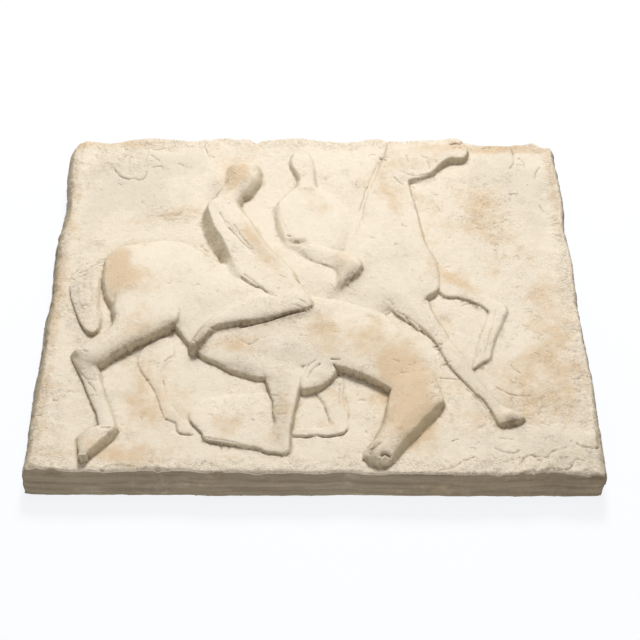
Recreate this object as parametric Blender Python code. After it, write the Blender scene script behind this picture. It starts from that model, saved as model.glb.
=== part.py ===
"""Cast stone relief: a slab with two horses and their riders, cast as one solid.

The slab lies on its back, so +Z points out of the carved face, +Y up the picture and +X to its
right. The origin is in the middle of the flat back, which is the face that hangs against a wall.

The carving is modelled as a height over the face. Every form is laid on what is already there,
the way clay is added to a ground: a mass is a closed outline with a cut wall and a rounded crown,
a limb is a round section that follows a line, and a groove is cut with a gouge. Their places and
heights are in millimetres, because that is the scale of the carving; the slab is in metres.
"""
import bmesh
import bpy
import numpy as np

MM = 0.001

# The slab
FACE_WIDTH = 0.446
FACE_DEPTH = 0.366
FACE_CENTRE_Y = -0.0005
GROUND_HEIGHT = 0.0305       # back to the lowest ground between the figures
DRAFT = 0.0035               # how far the sides splay out on their way to the back
ARRIS_DROP = 0.004           # the rounded edge between face and side
ARRIS_OUT = 0.0015

# How far the rough-cast edges wander from straight, in millimetres outwards, evenly spaced along
# the edge: the side edges from the bottom up, the others from left to right.
LEFT_WANDER = (0, 0, -1, 0, -2, -2, 0.5, -1, -2, 0.5, -3)
RIGHT_WANDER = (1, 1, 0, 0, -1.5, -3, -1.5, -3, -1, -3, -6)
TOP_WANDER = (-3.5, 1, 0, 1, -3, 0.5, 0, 1, 1, -3.5, -3, -6)
BOTTOM_WANDER = (-6, -1.5, -1, 0, 0.5, 0, 0.5, 0.5, 0.5, 0, 1, 1.5)

# The mesh
CARVING_STEP = 0.00125      # spacing of the grid that the carving is worked out on
FACE_TRIANGLES = 8800        # what is left of that grid once flat areas are thinned
CURVE_STEPS = 6              # points drawn between two stations of an outline

STONE_COLOUR = (0.72, 0.62, 0.47, 1.0)
STONE_ROUGHNESS = 0.9

WALL_FULLNESS = 1.5          # cut walls are nearly bevels, with a firm arris
OUTSIDE = -9.0               # a height that stands for "the form does not reach here"


def clear_scene():
    for old in list(bpy.data.objects):
        bpy.data.objects.remove(old, do_unlink=True)


def curve(stations, closed):
    """Catmull-Rom curve through the stations; every column is blended alike."""
    p = np.array(stations, float)
    if closed:
        p = np.vstack([p[-1], p, p[0], p[1]])
    else:
        p = np.vstack([2 * p[0] - p[1], p, 2 * p[-1] - p[-2]])
    t = np.linspace(0, 1, CURVE_STEPS, endpoint=False)[:, None]
    spans = [
        0.5 * (2 * b + (c - a) * t + (2 * a - 5 * b + 4 * c - d) * t**2 + (3 * b - a - 3 * c + d) * t**3)
        for a, b, c, d in zip(p[:-3], p[1:-2], p[2:-1], p[3:])
    ]
    line = np.vstack(spans)
    return np.vstack([line, line[0] if closed else p[-2]])


def rounded(t, fullness):
    """Rises from 0 to 1: a quarter circle at fullness 2, and nearer a bevel below that."""
    return (1 - (1 - np.clip(t, 0, 1)) ** fullness) ** (1 / fullness)


def bump(x, y, centre_x, centre_y, half_length, half_width, rise, turn=0):
    """A soft rise, or a hollow where rise is negative, turned by turn degrees."""
    c, s = np.cos(np.radians(turn)), np.sin(np.radians(turn))
    u = ((x - centre_x) * c + (y - centre_y) * s) / half_length
    v = ((y - centre_y) * c - (x - centre_x) * s) / half_width
    return rise * np.exp(-(u * u + v * v))


def along(x, y, a, b):
    """Where the points lie along the stretch from a to b (0 to 1), and how far off it."""
    dx, dy = b[0] - a[0], b[1] - a[1]
    t = np.clip(((x - a[0]) * dx + (y - a[1]) * dy) / (dx * dx + dy * dy + 1e-12), 0, 1)
    return t, np.hypot(x - a[0] - t * dx, y - a[1] - t * dy)


class Clay:
    """Heights over the face, in millimetres, at the points x and y."""

    def __init__(self, x, y):
        self.x, self.y = x, y
        self.height = np.zeros_like(x)

    def near(self, line, margin):
        low, high = line[:, :2].min(0) - margin, line[:, :2].max(0) + margin
        inside_x = (self.x > low[0]) & (self.x < high[0])
        inside_y = (self.y > low[1]) & (self.y < high[1])
        return np.nonzero(inside_x & inside_y)

    def lay(self, spot, form, inside, blend):
        """Keep the higher of clay and form, and soften the join over about blend."""
        old = self.height[spot]
        gap = form - old
        joined = old + 0.5 * (gap + np.sqrt(gap**2 + blend**2))
        self.height[spot] = np.where(inside, joined, old)

    def mass(self, outline, wall, run, crown, reach, blend=0.4, bumps=()):
        """A closed outline that rises by a wall within run, then rounds to crown within reach.

        An outline point is (x, y), with its own wall and run after it where they differ. The
        bumps are added to the crown.
        """
        defaults = (None, None, wall, run)
        line = curve([tuple(point) + defaults[len(point):] for point in outline], closed=True)
        spot = self.near(line, 1)
        x, y = self.x[spot], self.y[spot]
        nearest = np.full(len(x), np.inf)
        weights, walls, runs = np.zeros((3, len(x)))
        inside = np.zeros(len(x), bool)
        for a, b in zip(line[:-1], line[1:]):
            t, off = along(x, y, a, b)
            nearest = np.minimum(nearest, off)
            weight = np.hypot(b[0] - a[0], b[1] - a[1]) / (off + 0.3) ** 4
            weights += weight
            walls += weight * (a[2] + t * (b[2] - a[2]))
            runs += weight * (a[3] + t * (b[3] - a[3]))
            if a[1] != b[1]:
                level = (a[1] > y) != (b[1] > y)
                inside ^= level & (x < a[0] + (y - a[1]) * (b[0] - a[0]) / (b[1] - a[1]))
        walls, runs = walls / weights, runs / weights
        top = crown + sum(bump(x, y, *each) for each in bumps)
        form = walls * rounded(nearest / runs, WALL_FULLNESS) + (top - walls) * rounded(nearest / reach, 2)
        self.lay(spot, form, inside, blend)

    def limb(self, stations, blend=0.5, fullness=2.6):
        """A rounded section swept through (x, y, half width, crown) stations."""
        line = curve(stations, closed=False)
        spot = self.near(line, line[:, 2].max() + 1)
        x, y = self.x[spot], self.y[spot]
        form = np.full(len(x), OUTSIDE)
        for a, b in zip(line[:-1], line[1:]):
            t, off = along(x, y, a, b)
            off = off / (a[2] + t * (b[2] - a[2]))
            rise = (a[3] + t * (b[3] - a[3])) * np.sqrt(np.clip(1 - off**fullness, 0, 1))
            form = np.maximum(form, np.where(off < 1, rise, OUTSIDE))
        self.lay(spot, form, form > OUTSIDE, blend)

    def swell(self, *shape):
        self.height += bump(self.x, self.y, *shape)

    def groove(self, path, half_width, depth):
        line = curve(path, closed=False)
        spot = self.near(line, 3 * half_width)
        x, y = self.x[spot], self.y[spot]
        off = np.min([along(x, y, a, b)[1] for a, b in zip(line[:-1], line[1:])], axis=0)
        self.height[spot] -= depth * np.exp(-((off / half_width) ** 2))


def cut_ground(clay):
    """The ground is lowest under the bellies and is left higher behind the backs."""
    clay.height += 0.5
    clay.swell(-140, 130, 90, 75, 3.0)
    clay.swell(0, 165, 90, 45, 3.0)
    clay.swell(38, 115, 30, 50, 2.0)
    clay.swell(165, 80, 60, 110, 2.5)
    clay.swell(-215, -40, 18, 130, 2.0)
    clay.swell(60, 40, 30, 30, 1.5)


def model_right_horse(clay):
    """Held lowest: its neck and chest are a plane, and only head, legs and hoof stand out."""
    neck_and_chest = [
        (62, 156), (46, 110), (36, 75), (20, 40), (20, 5), (45, -20), (66, -30), (82, -31, 6, 3),
        (95, -18, 7, 2), (103, -13, 7, 2), (110, 0, 7, 3), (112, 14, 6.5), (108, 34, 6, 5),
        (100, 55, 4.6), (95, 82, 4.6), (91, 104, 4.6), (90, 122, 4.6), (95, 150),
    ]
    shoulder = (88, 4, 26, 30, 1.8)
    clay.mass(neck_and_chest, wall=5, run=3.5, crown=7.2, reach=22, bumps=[shoulder])
    far_foreleg = [
        (104, 30, 2, 4), (122, 15, 2.2, 3), (137, 1, 3, 3), (150, -10, 3.6, 3), (162, -18, 4), (164, -26),
        (156, -38), (149, -57), (145, -75), (137, -82), (130, -86, 3.5), (129, -80, 2, 3),
        (134, -64, 2, 3), (143, -34, 2.5, 3), (146, -24, 4), (135, -16), (112, -9), (98, 8, 3, 4),
    ]
    clay.mass(far_foreleg, wall=4.2, run=1.8, crown=4.8, reach=10)
    near_foreleg = [
        (63, -27), (81, -41), (97, -58), (105, -69), (109, -79), (122, -96, 6), (137, -118, 6),
        (143, -131, 7), (149, -141, 8), (158, -142, 8), (166, -137, 8), (163, -131, 7, 3),
        (151, -120, 5, 3), (137, -99, 4.5, 3), (126, -76, 5, 3), (112, -52, 5, 3), (99, -20, 6, 3),
        (96, -10, 2, 3), (80, -4, 2, 3), (64, -14, 2, 3),
    ]
    clay.mass(near_foreleg, wall=6.5, run=2, crown=8.2, reach=12, blend=1.5)
    head = [
        (61, 158, 3, 3), (66, 148, 3, 8), (84, 130, 3, 8), (93, 126), (101, 129), (109, 134),
        (119, 147), (130, 152), (139, 152.5), (144, 162), (142, 173), (136, 178, 7), (112, 179, 5, 4),
        (88, 173, 4.5, 4),
    ]
    clay.mass(head, wall=8.5, run=2, crown=10, reach=14)


def model_right_rider(clay):
    torso = [
        (-13, 128, 4), (-26, 111, 5), (-34, 99), (-36, 86, 5.5, 5), (-31, 66, 5.5, 5), (-22, 44),
        (0, 34, 6), (28, 44, 5), (31, 64, 4.2), (31, 80, 4), (28, 95, 4), (19, 110, 4), (3, 125, 4),
        (-6, 136, 4.5),
    ]
    clay.mass(torso, wall=5.4, run=3.5, crown=7, reach=18)
    neck = [(-7, 118, 12, 6.2), (-8, 128, 10.5, 6), (-10, 140, 10.5, 6.4)]
    clay.limb(neck, fullness=3.4)
    head = [(-10.5, 146, 12, 7), (-11.5, 153, 13, 7)]
    clay.limb(head, fullness=3.4)
    bent_leg = [
        (-20, 42, 4, 6), (0, 50, 5.5, 5), (24, 40, 8), (38, 29, 8.5), (44, 17, 9), (38, 3, 8.5, 2.5),
        (21, -6, 7, 2), (21, 5, 5.5, 3), (14, 17, 6.5, 3), (-2, 24, 7, 3), (-14, 32, 5),
    ]
    clay.mass(bent_leg, wall=8, run=3.5, crown=11, reach=13, blend=1)


def model_left_horse(clay):
    """The main form: the trunk and the bowed neck, then the tail, four legs and the head."""
    far_hind_leg = [
        (-136, -60), (-144, -78), (-131, -97), (-120, -123), (-116, -133), (-109, -136), (-105, -146),
        (-96, -148), (-98, -136), (-110, -123), (-119, -101), (-124, -82), (-112, -68), (-120, -52),
    ]
    clay.mass(far_hind_leg, wall=2.2, run=1.4, crown=2.8, reach=8)
    far_foreleg = [
        (3, -108), (9, -123), (14, -137), (8, -143), (-14, -143), (-14, -149), (5, -149), (26, -147),
        (26, -133), (22, -122), (23, -95),
    ]
    clay.mass(far_foreleg, wall=1.8, run=1.2, crown=2.4, reach=6)
    tail = [
        (-183, 31, 4, 3), (-196, 16), (-208, 4), (-206, -10), (-200, -25), (-194, -42), (-184, -50.5),
        (-177, -42, 3.5), (-178, -28, 2.6, 3), (-184, -8, 2.6, 3), (-185, 18, 3, 3),
    ]
    clay.mass(tail, wall=5, run=1.8, crown=5.4, reach=8)
    trunk_and_neck = [
        (-182, 30, 5.5, 4), (-176, 41, 5.5, 5), (-163, 49, 5.5), (-130, 56, 5.5, 7), (-110, 52),
        (-82, 31, 7), (-50, 12, 8), (-10, -5, 8, 8), (24, -14, 8.5, 7), (60, -32, 9.5, 2),
        (80, -62, 9.5, 1.6), (95, -88, 9.5, 1.6), (102, -110, 9.5, 2), (104, -126, 9.5, 3),
        (84, -133, 9, 4), (66, -122, 9, 4), (61, -108, 8.5, 1.2), (45, -98, 8.5, 1.2),
        (18, -87, 8, 1.2), (-8, -86, 7, 2), (-38, -98, 5, 2), (-65, -91, 4.5, 1.6),
        (-78, -82, 4.5, 2), (-94, -75, 5, 2), (-105, -61, 4.5, 1.6), (-116, -43, 6, 2),
        (-130, -34, 8, 6), (-160, -34, 9), (-171, -22, 6.5, 2.5), (-181, -2, 6, 2.5), (-183.5, 16, 6, 3),
    ]
    rump, flank, shoulder = (-140, 8, 45, 42, 3.6), (-62, -6, 50, 24, 5, -18), (38, -56, 62, 36, 4.2, -22)
    clay.mass(trunk_and_neck, wall=6, run=6, crown=8, reach=30, bumps=(rump, flank, shoulder))
    near_hind_leg = [
        (-111, -36, 9, 4), (-117, -46, 9.5, 7), (-126, -50.5, 10, 9), (-145, -65, 10, 8.5),
        (-165, -77, 9, 6), (-172.5, -87, 7, 3), (-171, -99, 6, 3.5), (-161, -122, 5.5, 4),
        (-153, -142, 6, 3), (-166, -146), (-171, -133), (-181, -112), (-198, -76, 6.5, 2),
        (-195, -70, 6, 2.5), (-180, -58, 5.5, 3), (-168, -42, 6, 4), (-171, -24, 6, 5),
        (-168, 0, 3, 3), (-140, 14, 3, 3), (-112, 0, 3, 3),
    ]
    clay.mass(near_hind_leg, wall=6.5, run=1.5, crown=12.6, reach=26, blend=1.5)
    near_hind_hoof = [
        (-167, -147, 5), (-153, -147), (-160, -157.5), (-167, -166.5), (-173, -173, 8, 1.5),
        (-180, -172.5, 7.5, 1.5), (-184, -152, 2.5), (-176, -148, 2.5, 5),
    ]
    clay.mass(near_hind_hoof, wall=8, run=2, crown=8.8, reach=6)
    folded_shank = [
        (-28, -168, 6), (-55, -162), (-85, -155.5), (-88, -148.5, 4.5), (-97, -138, 4), (-99.5, -131, 3.5),
        (-95, -126, 1.5, 3), (-86, -133, 1.5, 6), (-66, -141, 1.5, 8), (-26, -146, 4, 6),
    ]
    clay.mass(folded_shank, wall=5.3, run=1.5, crown=5.8, reach=10)
    near_foreleg = [
        (-39, -96), (-35, -103), (-30, -126), (-29, -137, 6), (-32, -152, 5, 4), (-32, -165, 5.5, 3),
        (-25, -169, 6.5), (-17, -164, 7), (-16, -150, 7, 2.5), (-12, -123, 8, 3), (-8.5, -103, 8.5, 3),
        (-7, -84, 4, 3), (-14, -74, 3, 3), (-32, -76, 3, 3), (-41, -88, 4, 3),
    ]
    clay.mass(near_foreleg, wall=7.2, run=1.7, crown=9.2, reach=12, blend=1.5)
    elbow = [(-9, -109), (-9, -96), (0, -83), (12, -80, 8, 4), (18, -88, 8.5), (12, -100), (-3, -109.5)]
    clay.mass(elbow, wall=8.5, run=3, crown=11, reach=8)
    hanging_head = [
        (104, -127, 9.5, 3), (90, -145, 10.5, 5.5), (72, -165, 10, 5), (62, -177, 8, 2.5),
        (50, -179.5, 7.5), (41, -174, 6.5), (43, -163, 7.5), (51, -147), (55, -131), (60, -114),
        (64, -103, 5, 4), (80, -88, 4, 4), (94, -94, 5, 4), (101, -108, 8),
    ]
    clay.mass(hanging_head, wall=8.5, run=2, crown=12.4, reach=24, blend=1.5)


def model_left_rider(clay):
    """The highest form: he leans forward, and his leg lies along the horse's flank."""
    back_hip_and_thigh = [
        (-88, 101, 9, 4), (-98, 92, 10, 5), (-99.5, 76, 10.5, 9), (-94, 52, 11, 12), (-82, 33, 11, 9),
        (-76, 20, 9, 5), (-72, 8, 10, 3), (-56, -2), (-44, -10), (-34, -20, 12.5), (-16, -25, 13),
        (0, -26, 13.5, 2.5), (-1, -16, 13.5, 3), (-14, 5, 12.5), (-36, 24, 9), (-52, 42, 9),
        (-68, 76, 9), (-76, 103, 9),
    ]
    clay.mass(back_hip_and_thigh, wall=12, run=3, crown=14, reach=15)
    arm = [
        (-80, 93, 14, 13), (-66, 70, 12.4, 14), (-53, 48, 10.4, 13.8), (-37, 27, 9, 13.4), (-20, 8, 7.5, 12.5),
    ]
    clay.limb(arm)
    neck = [(-80, 94, 13, 12.5), (-77, 106, 12, 12)]
    clay.limb(neck)
    head = [(-68, 112, 16, 13.5), (-65, 126, 17, 14), (-65, 135, 16, 12.5)]
    clay.limb(head, fullness=2.3)
    shin_and_foot = [
        (1, -24, 13.5, 2.5), (-2, -31, 13.5), (-20, -33.5, 13.5), (-40, -39, 13), (-70, -43.5, 12.5),
        (-84, -54, 11), (-90, -64, 10), (-98, -67, 9), (-98, -58, 7, 3), (-88, -40, 3, 5),
        (-62, -18, 3, 5), (-26, -12, 5, 5), (-6, -13, 13, 3),
    ]
    clay.mass(shin_and_foot, wall=12.3, run=2, crown=13.2, reach=9, blend=1)


def cut_grooves(clay):
    """Incised lines: between arm and back, along the right horse's neck, and at a waist."""
    clay.groove([(-81, 78), (-70, 56), (-51, 32)], 2.0, 1.6)
    clay.groove([(62, 159), (51, 129), (40, 91)], 0.9, 1.2)
    clay.groove([(90, 123), (94, 85), (101, 47)], 0.9, 1.2)
    clay.groove([(-34, 98), (-29, 70), (-17, 49)], 2.0, 1.0)
    clay.groove([(-14, 50), (2, 50)], 1.5, 1.2)


def carve(x, y):
    """Height of the carving in millimetres at the points x and y, also in millimetres."""
    clay = Clay(x, y)
    cut_ground(clay)
    model_right_horse(clay)
    model_right_rider(clay)
    model_left_horse(clay)
    model_left_rider(clay)
    cut_grooves(clay)
    return clay.height


def wander(offsets, share):
    """An edge's offset in metres at the given shares of its length."""
    line = curve([(offset, i) for i, offset in enumerate(offsets)], closed=False)
    return MM * np.interp(share * (len(offsets) - 1), line[:, 1], line[:, 0])


def face_grid(columns, rows):
    """Points of the face, fitted between its four wandering edges, in metres."""
    u, v = np.meshgrid(np.linspace(0, 1, columns), np.linspace(0, 1, rows))
    left = -FACE_WIDTH / 2 - wander(LEFT_WANDER, v)
    right = FACE_WIDTH / 2 + wander(RIGHT_WANDER, v)
    bottom = FACE_CENTRE_Y - FACE_DEPTH / 2 - wander(BOTTOM_WANDER, u)
    top = FACE_CENTRE_Y + FACE_DEPTH / 2 + wander(TOP_WANDER, u)
    return left + (right - left) * u, bottom + (top - bottom) * v


def make_face():
    """The carved face as an open sheet, thinned where it is flat."""
    columns, rows = round(FACE_WIDTH / CARVING_STEP) + 1, round(FACE_DEPTH / CARVING_STEP) + 1
    x, y = face_grid(columns, rows)
    z = GROUND_HEIGHT + MM * carve(x / MM, y / MM)
    bm = bmesh.new()
    bmesh.ops.create_grid(bm, x_segments=columns - 1, y_segments=rows - 1, size=0.5)
    bm.verts.ensure_lookup_table()
    order = sorted(range(len(bm.verts)), key=lambda i: (round(bm.verts[i].co.y, 5), bm.verts[i].co.x))
    for place, index in enumerate(order):
        row, column = divmod(place, columns)
        bm.verts[index].co = (x[row, column], y[row, column], z[row, column])
    mesh = bpy.data.meshes.new("carved_face")
    bm.to_mesh(mesh)
    bm.free()
    sheet = bpy.data.objects.new("carved_face", mesh)
    bpy.context.scene.collection.objects.link(sheet)
    thin = sheet.modifiers.new("thin", "DECIMATE")
    thin.ratio = FACE_TRIANGLES / (2 * (columns - 1) * (rows - 1))
    thinned = bpy.data.meshes.new_from_object(sheet.evaluated_get(bpy.context.evaluated_depsgraph_get()))
    bpy.data.objects.remove(sheet, do_unlink=True)
    return thinned


def pull_down(bm, rim, out, height):
    """Extrude the rim outwards by out and to height(z), and return the new rim."""
    pulled = bmesh.ops.extrude_edge_only(bm, edges=rim)["geom"]
    half = np.array((FACE_WIDTH / 2, FACE_DEPTH / 2))
    for vert in (item for item in pulled if isinstance(item, bmesh.types.BMVert)):
        vert.co.x *= 1 + out / half[0]
        vert.co.y = FACE_CENTRE_Y + (vert.co.y - FACE_CENTRE_Y) * (1 + out / half[1])
        vert.co.z = height(vert.co.z)
    return [item for item in pulled if isinstance(item, bmesh.types.BMEdge)]


def make_relief(collection):
    """Close the carved face with a rounded arris, splayed sides and a flat back."""
    bm = bmesh.new()
    bm.from_mesh(make_face())
    rim = [edge for edge in bm.edges if edge.is_boundary]
    rim = pull_down(bm, rim, ARRIS_OUT, lambda z: z - ARRIS_DROP)
    rim = pull_down(bm, rim, DRAFT - ARRIS_OUT, lambda z: 0.0)
    bmesh.ops.holes_fill(bm, edges=rim, sides=0)
    bmesh.ops.triangulate(bm, faces=[face for face in bm.faces if len(face.verts) > 3])
    bmesh.ops.recalc_face_normals(bm, faces=bm.faces)
    mesh = bpy.data.meshes.new("cast_relief")
    bm.to_mesh(mesh)
    bm.free()
    mesh.shade_smooth()
    mesh.set_sharp_from_angle(angle=np.radians(40))
    relief = bpy.data.objects.new("cast_relief", mesh)
    relief.data.materials.append(make_stone())
    collection.objects.link(relief)
    return relief


def make_stone():
    stone = bpy.data.materials.new("cast stone")
    stone.use_nodes = True
    shader = stone.node_tree.nodes["Principled BSDF"]
    shader.inputs["Base Color"].default_value = STONE_COLOUR
    shader.inputs["Roughness"].default_value = STONE_ROUGHNESS
    shader.inputs["Metallic"].default_value = 0.0
    return stone


def main():
    clear_scene()
    collection = bpy.data.collections.new("cast stone relief")
    bpy.context.scene.collection.children.link(collection)
    make_relief(collection)


main()
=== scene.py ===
"""Looks of the cast stone relief: a rough-cut slab with two horses and their riders.

The relief is one casting, so it is one piece. Its face is modelled as a height over the ground, in
millimetres, from the same forms as the solid, and then gets what a chisel, a mould and years of
handling leave: ragged edges, cracks, lifted flakes, air holes, grit and stains.
"""
import math

import bpy
import numpy as np
from bpy.props import FloatProperty, FloatVectorProperty, IntProperty, PointerProperty
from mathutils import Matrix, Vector


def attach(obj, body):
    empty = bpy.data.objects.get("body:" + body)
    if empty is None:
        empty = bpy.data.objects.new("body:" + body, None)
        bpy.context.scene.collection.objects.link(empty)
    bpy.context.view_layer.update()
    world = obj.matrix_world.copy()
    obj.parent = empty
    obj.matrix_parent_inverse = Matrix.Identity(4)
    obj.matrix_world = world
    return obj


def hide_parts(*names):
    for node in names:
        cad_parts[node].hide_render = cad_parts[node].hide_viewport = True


bl_info = {
    "name": "Cast stone relief",
    "version": (1, 0, 0),
    "blender": (4, 5, 0),
    "location": "3D View > Sidebar > Relief",
    "description": "Carves and casts a stone relief of two riders, and lights it",
    "category": "Object",
}

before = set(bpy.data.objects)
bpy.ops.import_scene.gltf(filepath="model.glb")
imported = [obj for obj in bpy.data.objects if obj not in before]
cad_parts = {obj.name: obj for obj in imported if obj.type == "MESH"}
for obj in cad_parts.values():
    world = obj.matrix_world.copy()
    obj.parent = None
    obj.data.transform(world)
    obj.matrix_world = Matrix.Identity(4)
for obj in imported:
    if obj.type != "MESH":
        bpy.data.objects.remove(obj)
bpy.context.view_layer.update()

MM = 0.001

# The slab, in metres
FACE_WIDTH = 0.446
FACE_DEPTH = 0.366
FACE_CENTRE_Y = -0.0005
GROUND_HEIGHT = 0.0305
DRAFT = 0.0035               # sets how far the sides round out below the arris

# How far the rough-cut edges wander from straight, in millimetres outwards, evenly spaced along
# the edge: the side edges from the bottom up, the others from left to right.
LEFT_WANDER = (0, -0.3, 1.2, 0, 0.5, -0.8, 2.2, 0.7, -0.3, 3, 2.6)
RIGHT_WANDER = (3.6, 3, 2.6, 1.4, 0.8, 0, 0.2, -1.6, 0.2, -1, -2)
TOP_WANDER = (
    -2, 1, 1, 4.4, 3.8, 3, 2.2, 5.4, 3.2, 1, 4.4, 3, 1, 0.8, 3.8, -3, -0.4, -1, 0, -5, -4.4, -3, -7,
)
BOTTOM_WANDER = (
    -4, -2.4, -2, -1.6, -2, -2.4, -3, -0.4, -0.6, 0.2, -1, 0.6, -1.8, 0.3, 0.8, 0.5, 0.8, 1.1, 0.7, 0,
    -1.8, 1.6, 2,
)
# Chips out of the top edge, or lumps on it where negative: how far along, half width and depth
TOP_CHIPS = (
    (-189, 6, 2), (-70, 4, 2.5), (-52, 4, 5), (-60, 3, -1.5), (135, 7, -4), (206, 6, -3), (214, 3, 1.5),
)
# Where the front arris is broken back to a slope: how far along, half width and depth
FRONT_CHIPS = ((-218, 5, 3), (-119, 2.5, 3), (-43, 4, 2), (143, 4, 3), (182, 3, 3), (212, 7, 2.5))

# The mesh
COLUMNS, ROWS = 641, 525     # points of the face; one less of each is a multiple of BACK_SPACING
BACK_SPACING = 4             # the flat back has this many times fewer points along each side
SIDE_RINGS = 30              # rings of points between the face's rim and the back
CURVE_STEPS = 6              # stretches of a curve between two stations

WALL_FULLNESS = 1.5          # how rounded the walls of the forms are; see rounded
OUTSIDE = -9.0               # stands for no form here, in millimetres
STRAY = ((0.8, 13), (0.5, 5), (0.22, 2))     # shares and sizes of the wander of the cut edges
SCRATCHES = 1500             # places tried for a scratch

# The stage: places in metres; the sight is how far down the camera looks, and how far to the right
FLOOR_REACH = 30
PAPER_GLOW = (0.97, 0.98, 1.0, 1.0)
SKY_COLOUR = (0.96, 0.98, 1.0, 1.0)
FILL_COLOUR = (1.0, 0.93, 0.82)
EYE = (0.0068, -0.7634, GROUND_HEIGHT + 0.885)
SIGHT_DOWN, SIGHT_ACROSS = math.radians(50.44), math.radians(-0.088)


# ---- Clay: heights over the face ----
def curve(stations, closed):
    """Catmull-Rom curve through the stations; every column is blended alike."""
    p = np.array(stations, float)
    if closed:
        p = np.vstack([p[-1], p, p[0], p[1]])
    else:
        p = np.vstack([2 * p[0] - p[1], p, 2 * p[-1] - p[-2]])
    t = np.linspace(0, 1, CURVE_STEPS, endpoint=False)[:, None]
    spans = [
        0.5 * (2 * b + (c - a) * t + (2 * a - 5 * b + 4 * c - d) * t**2 + (3 * b - a - 3 * c + d) * t**3)
        for a, b, c, d in zip(p[:-3], p[1:-2], p[2:-1], p[3:])
    ]
    line = np.vstack(spans)
    return np.vstack([line, line[0] if closed else p[-2]])


def rounded(t, fullness):
    """Rises from 0 to 1: a quarter circle at fullness 2, and nearer a bevel below that."""
    return (1 - (1 - np.clip(t, 0, 1)) ** fullness) ** (1 / fullness)


def fade(value, start, end):
    """Smoothly 0 at start and 1 at end."""
    t = np.clip((value - start) / (end - start), 0, 1)
    return t * t * (3 - 2 * t)


def bump(x, y, centre_x, centre_y, half_length, half_width, rise, turn=0):
    """A soft rise, or a hollow where rise is negative, turned by turn degrees."""
    c, s = np.cos(np.radians(turn)), np.sin(np.radians(turn))
    u = ((x - centre_x) * c + (y - centre_y) * s) / half_length
    v = ((y - centre_y) * c - (x - centre_x) * s) / half_width
    return rise * np.exp(-(u * u + v * v))


def heap(x, y, bumps):
    """Several bumps together."""
    return sum(bump(x, y, *each) for each in bumps)


def ridge(off, half_width):
    """A soft ridge that is 1 on its line; off is the distance from the line."""
    return np.exp(-((off / half_width) ** 2))


def along(x, y, a, b):
    """Where the points lie along the stretch from a to b (0 to 1), and how far off it."""
    dx, dy = b[0] - a[0], b[1] - a[1]
    t = np.clip(((x - a[0]) * dx + (y - a[1]) * dy) / (dx * dx + dy * dy + 1e-12), 0, 1)
    return t, np.hypot(x - a[0] - t * dx, y - a[1] - t * dy)


def lumps(x, y, size, seed, stretch=1.0, turn=0):
    """Smooth random swells about size across, mostly between -1 and 1.

    With a stretch they are that many times longer in the direction turn. Each use has its own seed.
    """
    c, s = np.cos(np.radians(turn)), np.sin(np.radians(turn))
    u = (x * c + y * s) / (size * stretch)
    v = (y * c - x * s) / size
    u, v = u - u.min(), v - v.min()
    lattice = np.random.default_rng(seed).uniform(-1, 1, (int(v.max()) + 4, int(u.max()) + 4))
    i, j = v.astype(int), u.astype(int)
    total = np.zeros_like(u)
    for k, row_weight in enumerate(spline_weights(v - i)):
        for m, column_weight in enumerate(spline_weights(u - j)):
            total += row_weight * column_weight * lattice[i + k, j + m]
    return 2.2 * total           # blending evens the swells out, and this brings them back


def spline_weights(t):
    """What each of four lattice points in a row counts, with t from the second to the third."""
    return (
        (1 - t) ** 3 / 6, (3 * t**3 - 6 * t**2 + 4) / 6,
        (-3 * t**3 + 3 * t**2 + 3 * t + 1) / 6, t**3 / 6,
    )


def layered(x, y, layers, seed):
    """Lumps of several sizes together: each layer has its strength, its size and a seed of its own."""
    return sum(strength * lumps(x, y, size, seed + i) for i, (strength, size) in enumerate(layers))


def softened(height, reach):
    """The heights averaged over about reach points each way."""
    for _ in range(4):
        padded = np.pad(height, ((reach, reach), (0, 0)), mode="edge")
        rows = len(height)
        height = sum(padded[k:k + rows] for k in range(2 * reach + 1)).T / (2 * reach + 1)
    return height


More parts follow.
